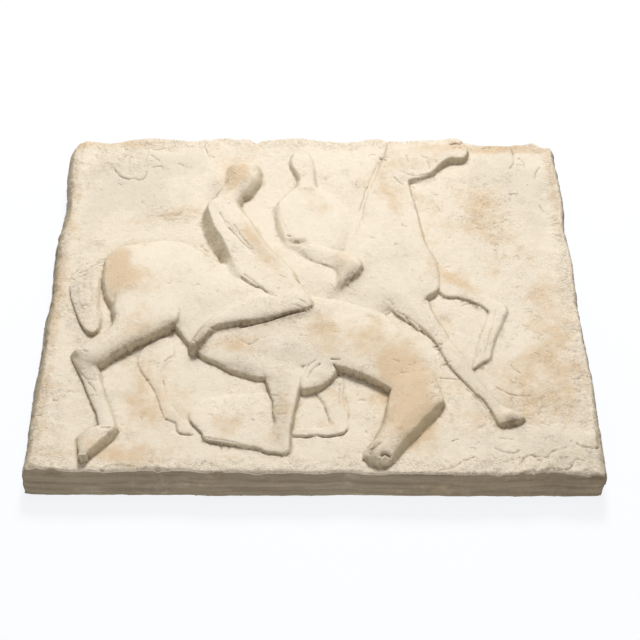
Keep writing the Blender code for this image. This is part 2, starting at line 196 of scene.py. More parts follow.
class Clay:
    """Heights over the face, in millimetres, at the points x and y."""

    def __init__(self, x, y):
        self.x, self.y = x, y
        self.height = np.zeros_like(x)

    def near(self, line, margin):
        """Where the points near a line are, with their x and y."""
        low, high = line[:, :2].min(0) - margin, line[:, :2].max(0) + margin
        inside_x = (self.x > low[0]) & (self.x < high[0])
        inside_y = (self.y > low[1]) & (self.y < high[1])
        spot = np.nonzero(inside_x & inside_y)
        return spot, self.x[spot], self.y[spot]

    def measure(self, x, y, line):
        """Which points are inside a closed line, how far they are from it, and the line's other
        values at them, blended by nearness."""
        nearest = np.full(len(x), np.inf)
        inside = np.zeros(len(x), bool)
        weights = np.zeros(len(x))
        values = np.zeros((line.shape[1] - 2, len(x)))
        for a, b in zip(line[:-1], line[1:]):
            t, off = along(x, y, a, b)
            nearest = np.minimum(nearest, off)
            weight = np.hypot(b[0] - a[0], b[1] - a[1]) / (off + 0.3) ** 4
            weights += weight
            for value, start, end in zip(values, a[2:], b[2:]):
                value += weight * (start + t * (end - start))
            if a[1] != b[1]:
                level = (a[1] > y) != (b[1] > y)
                inside ^= level & (x < a[0] + (y - a[1]) * (b[0] - a[0]) / (b[1] - a[1]))
        return inside, nearest, values / weights

    def lay(self, spot, form, inside, blend):
        """Keep the higher of clay and form, and soften the join over about blend."""
        old = self.height[spot]
        gap = form - old
        joined = old + 0.5 * (gap + np.sqrt(gap**2 + blend**2))
        self.height[spot] = np.where(inside, joined, old)

    def mass(
        self, outline, wall, run, crown, reach, blend=0.4, bumps=(), fullness=WALL_FULLNESS, dome=2.0,
    ):
        """A closed outline that rises by a wall within run, then rounds to crown within reach.

        An outline point is (x, y), with its own wall and run after it where they differ. The
        bumps are added to the crown.
        """
        defaults = (None, None, wall, run)
        line = curve([tuple(point) + defaults[len(point):] for point in outline], closed=True)
        spot, x, y = self.near(line, 1)
        inside, nearest, (walls, runs) = self.measure(x, y, line)
        top = crown + heap(x, y, bumps)
        form = walls * rounded(nearest / runs, fullness) + (top - walls) * rounded(nearest / reach, dome)
        self.lay(spot, form, inside, blend)

    def limb(self, stations, blend=0.5, fullness=2.6):
        """A rounded section swept through (x, y, half width, crown) stations."""
        line = curve(stations, closed=False)
        spot, x, y = self.near(line, line[:, 2].max() + 1)
        form = np.full(len(x), OUTSIDE)
        for a, b in zip(line[:-1], line[1:]):
            t, off = along(x, y, a, b)
            off = off / (a[2] + t * (b[2] - a[2]))
            rise = (a[3] + t * (b[3] - a[3])) * np.sqrt(np.clip(1 - off**fullness, 0, 1))
            form = np.maximum(form, np.where(off < 1, rise, OUTSIDE))
        self.lay(spot, form, form > OUTSIDE, blend)

    def groove(self, path, half_width, depth):
        """A soft groove along a curve through the path's points."""
        line = curve(path, closed=False)
        spot, x, y = self.near(line, 3 * half_width)
        off = np.min([along(x, y, a, b)[1] for a, b in zip(line[:-1], line[1:])], axis=0)
        self.height[spot] -= depth * ridge(off, half_width)

    def incise(self, lines):
        """Grooves, each given as (half width, depth) and then its points."""
        for (half_width, depth), *path in lines:
            self.groove(path, half_width, depth)

    def flake(self, outline, rise, run=0.8):
        """A patch that has lifted by rise, or come away where rise is negative."""
        line = curve(outline, closed=True)
        spot, x, y = self.near(line, 1)
        inside, nearest, _ = self.measure(x, y, line)
        self.height[spot] += np.where(inside, rise * fade(nearest, 0, run), 0)


# ---- The forms ----
# Where the ground is left higher: (x, y, half length, half width, rise), and its turn in degrees
GROUND_RISES = (
    (-140, 130, 90, 75, 3.0), (0, 165, 90, 45, 3.0), (38, 115, 30, 50, 2.0), (150, 90, 66, 90, 3.6),
    (50, 100, 24, 60, 1.6), (140, -60, 30, 60, 1.0), (-215, -40, 18, 130, 2.0), (60, 40, 30, 30, 1.5),
    (2, 16, 36, 24, 4.6, -20), (-26, 46, 14, 16, 1.5), (-84, 124, 9, 20, 5),
)


def cut_ground(clay):
    """The ground is lowest under the bellies and is left higher behind the backs."""
    clay.height += 0.5
    for rise in GROUND_RISES:
        clay.height += bump(clay.x, clay.y, *rise)


def model_right_horse(clay):
    """Held lowest: head, neck and chest are one plane, and only jaw, legs and hoof stand out."""
    head_neck_and_chest = [
        (62, 160, 4, 4), (46, 110), (36, 75, 2.4, 7), (24, 40, 0.4, 10), (14, -22, 0.4, 10),
        (36, -32, 1, 8), (53, -34, 1, 8), (62, -23, 0.5, 3), (70, -28.5, 2, 0.9), (80, -37.5, 2, 0.9),
        (89, -46, 1.6, 1), (95, -43, 0.3, 8), (98, -29, 0.3, 8), (95.5, -17, 2, 3), (96, -13.5, 5.5, 2),
        (103, -8.5, 5.5, 2), (108, -2, 5.5, 2.5), (111, 14, 5, 5), (108, 34, 5, 7), (100, 55, 4.6, 5),
        (95, 82, 4.6), (91, 104, 4.6), (89, 119, 5, 3), (88.5, 125.5, 7.4, 4), (96, 126, 7.4, 6),
        (103, 129, 7.6, 6), (109, 134, 8.4, 4.4), (116, 143, 9.6, 3.4), (125, 149.5, 10, 4),
        (137, 151, 10, 3.5), (141.5, 156, 9.6, 2), (143.5, 166, 8.5, 1.6), (141.5, 176, 6, 2.5),
        (135, 185, 5, 3), (112, 184, 4, 3), (88, 184, 4, 3), (70, 186, 3, 4),
    ]
    shoulder, face, jaw = (88, 4, 26, 30, 1.8), (112, 163, 46, 20, 3.2, 12), (124, 158, 16, 9, 1.2, 30)
    belly = (38, -18, 32, 16, -3.8, -28)
    clay.mass(
        head_neck_and_chest, wall=5, run=3.5, crown=7.2, reach=16, bumps=(shoulder, face, jaw, belly),
        fullness=1.2, dome=1.6)
    far_foreleg = [
        (104, 30, 2, 4), (122, 15, 2.2, 4), (137, 1, 2.6, 4), (150, -10, 3.2, 4), (161, -17, 3.8, 2),
        (164, -25, 3.6, 3), (159.5, -35, 3.6, 3.4), (155.5, -45, 3.6, 3.4), (152, -56, 3.6, 3.4),
        (148, -67, 3.4, 3), (145, -76), (137, -82), (130, -86, 3.5), (129, -80, 2, 3), (134, -64, 2, 3),
        (143, -34, 2.5, 3), (146, -25, 3.6, 1.4), (136, -16.5, 4.2, 1.4), (122, -11.5, 4, 1.4),
        (110, -9, 3.6, 1.6), (98, 8, 3, 4),
    ]
    clay.mass(far_foreleg, wall=3.4, run=1.6, crown=4.6, reach=10)
    near_foreleg = [
        (65, -21, 0.6, 3), (69, -26, 1.8, 0.9), (80, -36, 2.2, 0.9), (93, -48.5, 2.4, 0.9),
        (101.5, -60, 2.8), (106, -71), (111, -82), (118, -92), (126, -103), (133, -112.5), (139.5, -123),
        (143, -132, 4), (145.5, -140, 5, 2), (150, -142, 7, 3), (158, -141, 7.5, 3.4),
        (165, -139, 7.5, 3.2), (168, -135, 6, 2), (164, -130, 5, 1.6), (151, -120, 2.4, 3),
        (137, -99, 1.8, 3), (126, -76, 1.8, 3), (113, -54, 2.6, 2), (101, -26, 3, 2), (96, -6, 2, 5),
        (84, 0, 1.4, 9), (68, -13, 0.4, 8),
    ]
    hoof, upper_leg = (155, -134, 10, 7, 2.8), (90, -22, 22, 18, 1.4)
    clay.mass(
        near_foreleg, wall=2.8, run=0.9, crown=4.2, reach=10, blend=0.8, bumps=(hoof, upper_leg), dome=1.6)


def model_right_rider(clay):
    """Upright, with the nearer leg bent at the knee."""
    torso = [
        (-13, 128, 4, 5), (-26, 112, 5), (-34, 101, 5, 5), (-36.5, 88, 5.4, 6), (-33, 70, 5, 6),
        (-27, 52, 4.2, 5.5), (-20, 43, 2.4, 7), (0, 36, 4), (24, 40, 1, 10), (32, 62, 2, 10),
        (32, 80, 3, 10), (28, 96, 4.4, 9), (18, 111, 4.4, 7), (6, 121, 4.4, 5), (-6, 130, 4.5),
    ]
    clay.mass(torso, wall=5.4, run=3.5, crown=6.8, reach=18, blend=1.2, fullness=1.2)
    head_and_neck = [
        (-10, 167, 5.5), (-17, 165.5, 5.5), (-21.5, 160), (-23.5, 152), (-22.5, 144), (-19, 136),
        (-15.5, 129), (-17, 122, 5, 6), (-16, 112, 4, 7), (4, 112, 3, 7), (4, 121, 3, 6), (2.5, 129, 3, 6),
        (2.5, 140, 3, 6), (1.5, 152, 3.2, 5), (-3, 162, 4, 4),
    ]
    clay.mass(head_and_neck, wall=5.6, run=4, crown=7.8, reach=9, blend=1.2)
    bent_leg = [
        (-17, 44, 2, 8), (-10, 51, 5, 7), (8, 51, 6.4, 8), (26, 43, 7.4, 7), (38, 34, 9, 5),
        (44.5, 24, 11, 4), (46, 16, 14.4, 7), (42.5, 6, 15.5, 9), (32, -2, 14, 8), (19, -8, 3, 7),
        (15, 6, 1, 12), (17, 19, 3.6, 2), (12, 23.5, 4.8, 1.2), (6, 26, 4.6, 1.2), (0, 27.5, 4.2, 1.6),
        (-8, 31.5, 3.6, 5), (-14, 36, 2.4, 8), (-18, 40, 2, 8),
    ]
    knee = (33, 22, 15, 13, 5)
    clay.mass(
        bent_leg, wall=7, run=3.5, crown=8, reach=12, blend=1, bumps=[knee], fullness=1.1, dome=1.3)


def model_left_horse(clay):
    """The main form: the trunk and the bowed neck, then the tail, four legs and the head."""
    far_hind_leg = [
        (-138, -62), (-143, -78), (-136, -92), (-129, -104), (-123, -118), (-117, -133), (-109, -138.5),
        (-105, -147), (-97, -148.5), (-96, -140, 1, 3), (-108, -126, 1, 2), (-117, -108, 1, 2),
        (-123, -88, 1, 2), (-114, -70), (-120, -52),
    ]
    clay.mass(far_hind_leg, wall=1.2, run=0.6, crown=1.5, reach=8)
    far_foreleg = [
        (3, -106), (9, -120), (12, -132), (14, -141, 1.2, 2), (-4, -142, 1.2, 2), (-14, -145, 1.4),
        (-14, -150.5, 1.9, 0.9), (-4, -150.5, 1.9, 0.9), (6, -150, 1.9, 0.9), (18, -149.5, 1.9, 0.9),
        (26, -146, 1.9, 0.9), (29, -134, 1.2, 2), (25, -118, 1.2, 2), (23, -95),
    ]
    clay.mass(far_foreleg, wall=1.2, run=0.8, crown=1.8, reach=6)
    tail = [
        (-181, 31, 5, 4), (-190, 24, 4.6, 3), (-198, 15, 3.6, 3), (-208, 4, 3.2, 2), (-206, -8),
        (-201.5, -21), (-198, -31), (-194, -40, 4), (-189, -47, 4.4), (-184, -50.5, 4.4),
        (-179, -47.5, 3.8), (-177, -41, 2.8, 1.4), (-177, -30, 1.6, 8), (-181, -8, 4.4, 6),
        (-179, 18, 5.6, 4),
    ]
    clay.mass(tail, wall=3.4, run=0.8, crown=5, reach=10)
    trunk_and_neck = [
        (-182, 30, 5.5, 4), (-176, 41, 5.5, 5), (-163, 49, 5.5), (-130, 56, 5.5, 7), (-110, 52),
        (-82, 31, 7), (-50, 12, 8), (-10, -5, 8, 8), (24, -14, 8.5, 7), (60, -32, 9.5, 2),
        (80, -62, 9.5, 1.6), (95, -88, 9.5, 1.6), (102, -110, 9.5, 2), (104, -124, 9.5, 3),
        (84, -133, 9, 4), (66, -122, 9, 4), (60, -108.5, 8.5, 1.4), (45, -98.5, 8.5, 1.2),
        (18, -87.5, 8, 1.2), (-8, -87, 7, 2), (-38, -98, 3.2, 2.6), (-65, -90.5, 3, 2.6),
        (-78, -82.5, 3, 2.6), (-92, -75, 3.4, 2.6), (-104, -61, 4, 2.2), (-115, -45, 5, 2.4),
        (-130, -36, 8, 6), (-160, -36, 7), (-167, -36, 3.4, 3), (-172, -20, 4, 3.4), (-178.5, -6, 4.6, 3.6),
        (-181, 8, 5.2, 4), (-182, 20, 5.8, 5),
    ]
    rump, flank, shoulder = (-138, 8, 45, 42, 4), (-62, -12, 52, 26, 4.8, -18), (38, -56, 62, 36, 4.2, -22)
    clay.mass(trunk_and_neck, wall=6, run=6, crown=8, reach=30, bumps=(rump, flank, shoulder))
    near_hind_shank = [
        (-173, -84, 2.2, 3), (-172, -90, 1.4, 3), (-168, -104, 1.2, 3), (-160, -124, 1.2, 3),
        (-154, -142, 2, 2), (-155, -153, 4.4, 2), (-167, -154, 4.4, 2), (-168.5, -143), (-171.5, -131),
        (-178, -116), (-184, -103), (-191, -88), (-198, -74), (-195, -67, 3, 3), (-184, -58, 4, 4),
        (-170, -60, 4, 4),
    ]
    hock = (-184, -82, 13, 12, 3.4)
    clay.mass(near_hind_shank, wall=2.6, run=0.7, crown=4.6, reach=8, bumps=[hock])
    near_hind_thigh = [
        (-109, -36, 7, 4), (-116, -46, 6, 3), (-126, -52, 5.5, 2.5), (-140, -62, 5.5, 2.5),
        (-152, -70, 5, 2.5), (-163, -77, 4.6, 2.5), (-172.5, -84.5, 4, 2.5), (-182, -88, 1.6, 7),
        (-193, -80, 2, 5), (-197, -71, 3, 4), (-186, -60, 4, 4), (-174, -50, 4, 5), (-168, -38, 4, 5),
        (-170, -24, 4, 5), (-166, 0, 3, 5), (-140, 14, 3, 5), (-112, 0, 3, 5),
    ]
    clay.mass(near_hind_thigh, wall=5, run=2, crown=12.8, reach=17, blend=1.5)
    near_hind_hoof = [
        (-168, -144, 5), (-154, -143.5, 7.5, 2), (-152.5, -149, 8, 4), (-157.5, -156.5, 8, 4.4),
        (-165, -165, 8, 4), (-172.5, -171.5, 9, 1.6), (-174, -174.5, 10, 1), (-180.5, -174.5, 10, 1),
        (-181, -168, 4.5, 1), (-183.5, -158, 2, 1), (-184, -150, 0.6, 5), (-174, -144, 1.4, 6),
    ]
    sloping_top = (-186, -153, 10, 15, -6.5)
    clay.mass(near_hind_hoof, wall=8, run=2, crown=9.4, reach=7, blend=1, bumps=[sloping_top])
    folded_shank = [
        (-28, -164, 2, 1.2), (-45, -164, 3.2), (-60, -161.5), (-74, -158.5), (-85, -155.5),
        (-88, -149, 3.2, 1.4), (-95, -140, 3, 1.4), (-98.5, -131, 1.6, 2), (-96, -122, 0.1, 12),
        (-84, -113, 0.1, 18), (-60, -110, 0.1, 18), (-30, -114, 1, 12),
    ]
    clay.mass(folded_shank, wall=4, run=1.2, crown=4.6, reach=36)
    near_foreleg = [
        (-39.5, -97), (-36.5, -107), (-33, -119), (-31, -133), (-31, -140, 2.2, 3), (-35, -150, 0.6, 7),
        (-40, -161, 0.4, 8), (-36, -166, 1.6, 2), (-29, -168, 2.4, 1), (-22.5, -169, 2.4, 1),
        (-18, -166, 2.4, 1.4), (-16.5, -158, 3.6, 1.6), (-16, -148, 5, 2), (-12.5, -123, 5.4, 2),
        (-9, -103, 6, 2.4), (-6, -84, 5, 4), (-12, -68, 3, 6), (-32, -70, 3, 6), (-42, -86, 3.4, 4),
    ]
    foot = (-27, -166, 16, 16, -3.6)
    clay.mass(near_foreleg, wall=3.8, run=0.8, crown=7.4, reach=11, blend=1, bumps=[foot])
    elbow = [
        (-10, -111, 5, 3), (-14, -98, 3, 6), (-8, -82, 3, 6), (8, -74, 3, 6), (18, -78, 4.5, 4),
        (20.5, -88, 5, 2.6), (16, -99, 4.6, 2), (9, -106.5, 4.6, 2), (0, -110.5, 5.4, 3),
    ]
    clay.mass(elbow, wall=4.8, run=2, crown=8.6, reach=12, blend=0.8)
    hanging_head = [
        (103, -122, 7, 4), (100.5, -130, 6, 5), (91, -142, 5.6, 5), (77, -158.5, 5, 4.6),
        (67, -171, 4.6, 3.4), (60, -177.5, 4.6, 2), (50, -179, 4.4, 1.6), (43, -175.5, 3, 2),
        (38.5, -170, 1.6, 3), (43, -162, 2.4, 4), (49, -152, 3.4, 3.4), (55.5, -138, 5, 3),
        (58, -125, 7, 2), (61, -110.5, 8, 2), (64, -101, 5, 4), (80, -86, 4, 4), (94, -92, 5, 4),
        (101, -106, 7.5),
    ]
    clay.mass(hanging_head, wall=8, run=2, crown=12.6, reach=15, blend=2, fullness=1.15, dome=1.5)


def model_left_rider(clay):
    """The highest form: he leans forward, and his leg lies along the horse's flank."""
    back_hip_and_thigh = [
        (-88, 101, 8, 4), (-96.5, 94, 10, 4), (-99, 78, 12, 8), (-95, 60, 12.6, 11), (-88, 45, 12.6, 11),
        (-80, 31, 11.4, 7), (-80, 18, 9, 15), (-75, 2, 9, 16), (-56, -10, 10, 10), (-36, -20, 12, 6),
        (-16, -27, 13, 6), (0, -26, 13.5, 2.5), (-1, -16, 13.5, 3), (-14, 5, 12.5), (-36, 24, 9),
        (-52, 42, 9), (-68, 76, 9), (-76, 103, 9),
    ]
    clay.mass(back_hip_and_thigh, wall=12, run=3, crown=14, reach=14, blend=2, fullness=1.1)
    arm = [
        (-80, 92, 15, 12.6), (-66, 70, 13, 13.6), (-53, 48, 11, 13.6), (-37, 27, 9, 13.4),
        (-24, 12, 8, 12.8), (-18, 4, 6, 11),
    ]
    clay.limb(arm, blend=1.6, fullness=3.4)
    neck = [(-80, 94, 13, 12.8), (-75, 106, 13, 12.8), (-71, 116, 12, 12.8)]
    clay.limb(neck, blend=1.6)
    head = [(-67, 119, 15.5, 13.5), (-65, 127, 17.6, 14), (-64, 136, 17, 12.5)]
    clay.limb(head, blend=1.6, fullness=2.3)
    shin_and_foot = [
        (1.5, -24, 13, 2.5), (-1, -31.5, 12.6), (-10, -36.5), (-20, -40), (-30, -43), (-42, -46),
        (-54, -48), (-66, -50, 12.4), (-78, -53, 12), (-86, -60, 11, 3), (-91, -69, 9.5, 5),
        (-99, -72, 8.5, 5), (-102, -62, 7, 4), (-90, -38, 3, 9), (-62, -14, 3, 12), (-30, -6, 5, 12),
        (-6, -12, 13, 4),
    ]
    clay.mass(shin_and_foot, wall=12, run=4.6, crown=15, reach=14, blend=2, fullness=1.3, dome=1.6)


# Incised lines: (half width, depth), then the points that the line runs through
GROOVES = (
    # Between the left rider's arm and back
    ((1.2, 1.3), (-82, 78), (-75, 62), (-63, 46), (-51, 31)),
    ((0.7, 0.9), (-76, 68), (-68, 56), (-57, 42)),
    ((0.7, 0.9), (-74, 61), (-65, 48), (-54, 37)),
    ((0.7, 0.8), (-70, 64), (-62, 50), (-52, 36)),
    # Down the right horse's neck
    ((0.8, 1.0), (62, 159), (51, 129), (40, 91)),
    ((0.7, 0.8), (90, 123), (94, 85), (101, 47)),
    # The right rider's back and waist
    ((1.4, 0.5), (-33, 100), (-29, 78), (-21, 58)),
    ((1.0, 1.2), (-23, 59), (-20, 58)),
    ((2.6, 2.0), (-20, 53), (-15, 51), (-9, 51.5)),
    # The left horse's mouth, nostril and lips
    ((1.3, 2.6), (39.5, -172), (42.5, -168.5), (46, -166.5)),
    ((1.2, 2.0), (44, -170), (48, -166.5), (52.5, -164)),
    ((0.6, 0.9), (41.5, -174), (45, -171.5)),
    ((0.7, 1.0), (46.5, -164.5), (50.5, -162)),
    ((1.2, 2.4), (53.5, -173.8), (56, -172.2), (59.5, -173.6)),
    ((0.8, 1.2), (46, -176.6), (53, -176.4), (62, -175.4)),
    # The right horse's throat, raised foreleg, ear, nostril, mouth, cheek and neck
    ((0.6, 1.0), (91, 129), (98, 130), (106, 134)),
    ((0.6, 0.8), (90, 131.5), (97, 132.5), (103, 134.5)),
    ((0.5, 0.5), (153, -24), (150, -37), (146.5, -49), (143.5, -60), (140, -72)),
    ((0.9, 1.4), (61, 160), (62, 157), (66, 153)),
    ((0.7, 0.9), (62, 158), (68, 157)),
    ((1.1, 2.4), (127, 170.5), (131, 172.5), (135, 172)),
    ((1.0, 2.2), (136, 173), (138, 176), (140, 175)),
    ((0.7, 0.8), (129, 164), (133, 166.5), (138, 163)),
    ((0.7, 0.8), (85, 157), (87, 149)),
    ((0.7, 0.7), (99, 156), (104, 153)),
    ((0.7, 0.8), (73, 130), (76, 126), (80, 122)),
    ((0.6, 0.7), (80, 137), (84, 135), (90, 133)),
    # The left horse's hind hoof
    ((0.9, 1.6), (-165, -148), (-158, -148.5)),
    ((0.9, 1.4), (-156, -144), (-152, -148)),
)


# ---- Wear, stains and painted shade ----
# Cracks and longer scratches, given as the grooves are
CRACKS = (
    # Where the right horse's chest folds
    ((0.8, 1.4), (55, -29.5), (60, -28), (64, -25)),
    # The upper left corner
    ((0.7, 0.9), (-184, 145), (-180, 139), (-176, 134), (-170, 131.5), (-164, 131.5), (-160, 130),
     (-156, 132), (-153.5, 137), (-154, 141)),
    ((0.8, 1.0), (-177, 160), (-174, 163.5), (-168, 160)),
    ((0.7, 0.8), (-171, 158), (-171, 149)),
    ((0.8, 1.0), (-151, 162), (-147, 158.5), (-143, 154.5)),
    ((0.7, 0.8), (-155, 170), (-154.5, 162), (-156, 155)),
    ((0.7, 0.9), (-158, 172), (-152, 172.5), (-149, 170), (-140, 172.5)),
    ((0.7, 0.9), (-149, 147), (-140, 147.5), (-139, 141)),
    ((0.8, 1.0), (-125, 151.5), (-121, 148.5)),
    ((0.7, 0.9), (-102, 175), (-99.5, 168), (-98, 163), (-92, 160)),
    ((0.6, 0.7), (-178, 126), (-175, 124)),
    ((0.6, 0.7), (-204, 177), (-200, 172), (-197, 177)),
    ((0.8, 0.9), (-199, 168), (-193, 168.5)),
    ((0.7, 0.8), (-202, 170), (-203, 163), (-201, 157)),
    # The upper right corner and the right edge
    ((0.8, 1.2), (184, 172), (185, 161), (184, 154), (180, 147.5)),
    ((0.7, 0.8), (190, 161), (194, 155), (194, 148)),
    ((0.7, 0.9), (207, 149), (203, 141), (201, 131)),
    ((0.8, 1.0), (203, 99), (205, 92)),
    # Around the right horse's hoof
    ((0.7, 1.0), (103, -94), (109, -94), (116, -94.5)),
    ((0.7, 1.0), (148, -103), (155, -108), (162, -111), (174, -112)),
    ((0.6, 0.6), (180, -137), (186, -140), (192, -137)),
    # The lower right corner and the bottom edge
    ((0.8, 1.1), (142, -162), (150, -165.5), (158, -165.5), (161, -163)),
    ((0.9, 1.2), (161, -180), (162, -174), (166, -169), (172, -168.5), (174, -173), (177, -174.5)),
    ((0.8, 1.1), (171, -169), (181, -170.5)),
    ((0.9, 1.1), (182, -171), (187, -164.5), (193, -163.5), (197, -161)),
    ((0.9, 1.2), (206, -157), (210, -161), (218, -162), (223, -160)),
    ((0.9, 1.1), (186, -181.5), (196, -181.5), (200, -178), (203, -172), (209, -173.5)),
    ((0.9, 1.1), (163, -183), (171, -182)),
    ((0.8, 1.1), (117, -173), (120, -172.5), (125, -170)),
    ((0.7, 0.9), (98, -182), (109, -180), (114, -175.5)),
    ((0.7, 0.8), (109, -155), (113, -153.5)),
    ((0.7, 0.8), (146, -152), (157, -153)),
    # The open ground
    ((0.7, 0.8), (161, -80), (164, -85), (168, -89)),
    ((0.6, 0.7), (-170, -180), (-160, -182)),
    # The left horse's far hooves and tendons
    ((0.8, 1.5), (-116, -134), (-112, -136), (-108, -139), (-106, -146), (-102, -148.5), (-94, -149.5)),
    ((0.8, 1.4), (-14, -150.5), (-4, -151), (4, -149.5), (10, -151), (18, -149.5), (24, -149), (27, -145)),
    ((0.6, 0.6), (22, -100), (22, -112), (21, -122)),
    ((0.6, 0.6), (27, -114), (29, -128), (27, -139)),
    ((0.6, 0.6), (2, -111), (8, -121), (11, -130), (13, -138)),
    # Its elbow
    ((0.8, 1.2), (-4, -99), (-1, -91), (5, -85)),
    ((0.7, 0.9), (-7, -95), (-4, -87), (2, -81)),
    ((0.9, 1.4), (15, -81), (22, -81.5)),
    ((0.9, 1.8), (17, -86), (21, -91)),
    # Under its folded shank
    ((0.6, 1.2), (-84, -154.5), (-70, -157), (-56, -161), (-40, -164.5)),
    # Under the left rider's shin and foot
    ((0.8, 1.4), (-60, -48), (-40, -43.5), (-25, -38.5), (-8, -32.5)),
    ((0.8, 1.4), (-84, -52), (-70, -48), (-58, -46)),
    ((0.8, 1.0), (-98, -64), (-94, -68)),
    # Along the right horse's near foreleg
    ((0.6, 0.8), (70, -26), (80, -34), (92, -46), (100, -57)),
    ((0.8, 1.2), (78, -33), (81, -38)),
    ((0.8, 1.2), (88, -43), (92, -49)),
    ((0.8, 1.2), (99, -62), (106, -61)),
    ((0.8, 1.2), (100, -64), (105, -66)),
    ((0.8, 1.0), (106, -80), (112, -79)),
    ((0.6, 0.8), (124, -104), (132, -114), (138, -124)),
    # The left horse's far hind leg
    ((0.7, 0.7), (-121, -97), (-118, -108), (-114, -118), (-107, -128), (-102, -135)),
    ((0.8, 1.1), (-121, -77.5), (-116.5, -73.5)),
    ((0.6, 0.7), (-141, -86), (-138, -91), (-133.5, -96), (-128, -106), (-123, -117), (-119, -129)),
    ((0.9, 0.9), (-134, -95.5), (-132, -96.5)),
    # Its near hind leg
    ((0.7, 0.8), (-186, -94), (-182, -98), (-175, -98.5)),
    ((0.7, 0.9), (-181, -101), (-177, -105), (-174, -110)),
    ((0.6, 0.7), (-190, -69), (-187, -74), (-183, -76)),
    # Its belly, near foreleg and neck
    ((0.7, 0.7), (-59, -60), (-52, -64.5), (-45, -59.5)),
    ((0.6, 0.5), (-30, -126), (-21, -126)),
    ((0.5, 0.35), (-27, -134), (-20, -134)),
    ((0.6, 0.7), (-33, -115), (-28, -116)),
    ((0.6, 0.7), (70, -94), (77, -95)),
    ((0.6, 0.7), (65, -82), (69, -84)),
    # Its tail
    ((0.8, 1.0), (-200, 19), (-193, 23), (-189, 28), (-181, 33)),
    ((0.9, 1.6), (-191, 18), (-188, 21), (-184, 25), (-182, 24)),
    ((0.7, 0.9), (-200, 15), (-196, 18), (-192, 16)),
    ((0.7, 0.8), (-188, 31), (-185, 34), (-181, 35)),
    ((0.8, 0.5), (-201, 0), (-198, -12), (-193, -26)),
    ((0.7, 0.5), (-190, 14), (-189, -4), (-184, -20)),
    ((0.7, 0.5), (-196, 10), (-194, -8), (-187, -28)),
    ((0.7, 0.6), (-199, 28), (-206, 16), (-209, 8)),
    # The left rider's hip, thigh, knee and back
    ((1.0, 1.4), (-61, 4), (-54, -3), (-47, -7), (-42, -9)),
    ((0.8, 1.0), (-59, 7), (-52, 0), (-46, -5)),
    ((0.8, 1.0), (-42, -10), (-37, -16), (-31, -19)),
    ((0.7, 0.7), (-28, 5), (-22, 2)),
    ((0.8, 0.8), (-10, -24), (-5, -27), (-3, -32)),
    ((0.8, 0.8), (-18, -28), (-9, -31), (-4, -34)),
    ((0.7, 0.7), (-8, -19), (-3, -23), (-1, -28)),
    ((0.7, 0.7), (-99, 50), (-92, 43)),
    # Beside the lifted flake on the right
    ((0.9, 1.2), (178, 112), (176, 113)),
)

# Flakes: how far they stand up, or are gone where negative, then their outline
FLAKES = (
    (0.5, (-183, 150), (-180, 138), (-170, 131.5), (-158, 131), (-153, 140), (-157, 152), (-170, 157)),
    (0.5, (161, -182), (162, -174), (168, -168), (180, -170), (184, -180)),
    (0.5, (186, -181), (183, -171), (188, -164), (198, -162), (209, -172), (199, -180)),
    (0.4, (206, -156), (210, -161), (221, -161), (222, -145), (209, -144)),
    (-0.7, (-160, -178.5), (-150, -177), (-137, -178.8), (-113, -179), (-112, -186), (-160, -186)),
    (1.0, (178, 113), (184, 113), (183, 117), (179, 116)),
)

# Stains: (x, y, half length, half width, strength, turn in degrees)
WARM = (
    (-218, 0, 9, 190, 0.6), (-190, 178, 45, 9, 0.8), (-92, 162, 18, 14, 0.6), (-130, 84, 34, 10, 0.7, 15),
    (-168, 26, 16, 30, 0.95, -12), (-148, 2, 30, 15, 0.6, -20), (-175, -140, 45, 45, 0.25),
    (-132, -108, 22, 42, 0.65, 12), (-72, -140, 30, 12, 0.5, -15), (-150, -168, 70, 10, 0.5),
    (-62, -66, 18, 9, 0.7, -15), (-25, -120, 9, 34, 0.5), (20, -58, 44, 20, 0.6, -25),
    (76, -98, 26, 22, 0.9, -50), (76, -140, 26, 26, 1.2, 45), (20, -128, 20, 20, 0.4),
    (-66, 132, 14, 22, 0.8), (-52, 48, 8, 34, 0.8, 28), (-36, 12, 14, 12, 0.5), (8, 90, 24, 20, 0.25),
    (66, 118, 16, 40, 0.6, 15), (112, 162, 34, 16, 0.6, 8), (182, 172, 44, 7, 1.2),
    (146, 78, 46, 56, 0.45, -10), (160, 92, 18, 30, 0.25), (124, 6, 20, 8, 0.9, -40),
    (106, -34, 10, 22, 0.6, 20), (30, 22, 16, 16, 0.5), (176, -108, 50, 36, 0.7), (200, -30, 30, 70, 0.5),
    (216, 130, 6, 50, 0.8), (86, 40, 20, 20, 0.2), (60, -100, 14, 14, 0.4), (-150, -46, 34, 18, 0.5, 30),
    (66, -70, 38, 26, 0.42, -36), (-72, 124, 10, 20, 0.8),
)
ASH = (
    (-172, 130, 42, 36, 1.2), (-125, 150, 34, 22, 0.7), (-200, 66, 14, 40, 0.6),
    (-150, 102, 30, 12, 0.5, 10), (184, 130, 36, 34, 1.2, -15), (200, 84, 22, 26, 0.7),
    (-180, -100, 14, 44, 0.9, 22), (-196, -10, 12, 34, 0.7, 12), (-20, -76, 20, 9, 1.3, -10),
    (-62, -88, 20, 9, 0.8, -18), (4, -96, 12, 12, 0.6), (134, -108, 12, 40, 1.0, 32),
    (200, -166, 32, 16, 1.0), (140, -160, 22, 14, 0.5), (150, -65, 20, 14, 0.3), (-10, 165, 30, 12, 0.6),
    (70, 30, 34, 26, 0.5), (-108, -136, 10, 14, 0.5), (150, 146, 10, 18, 0.6), (-100, 30, 26, 18, 0.3),
    (120, 66, 12, 14, 0.5),
)
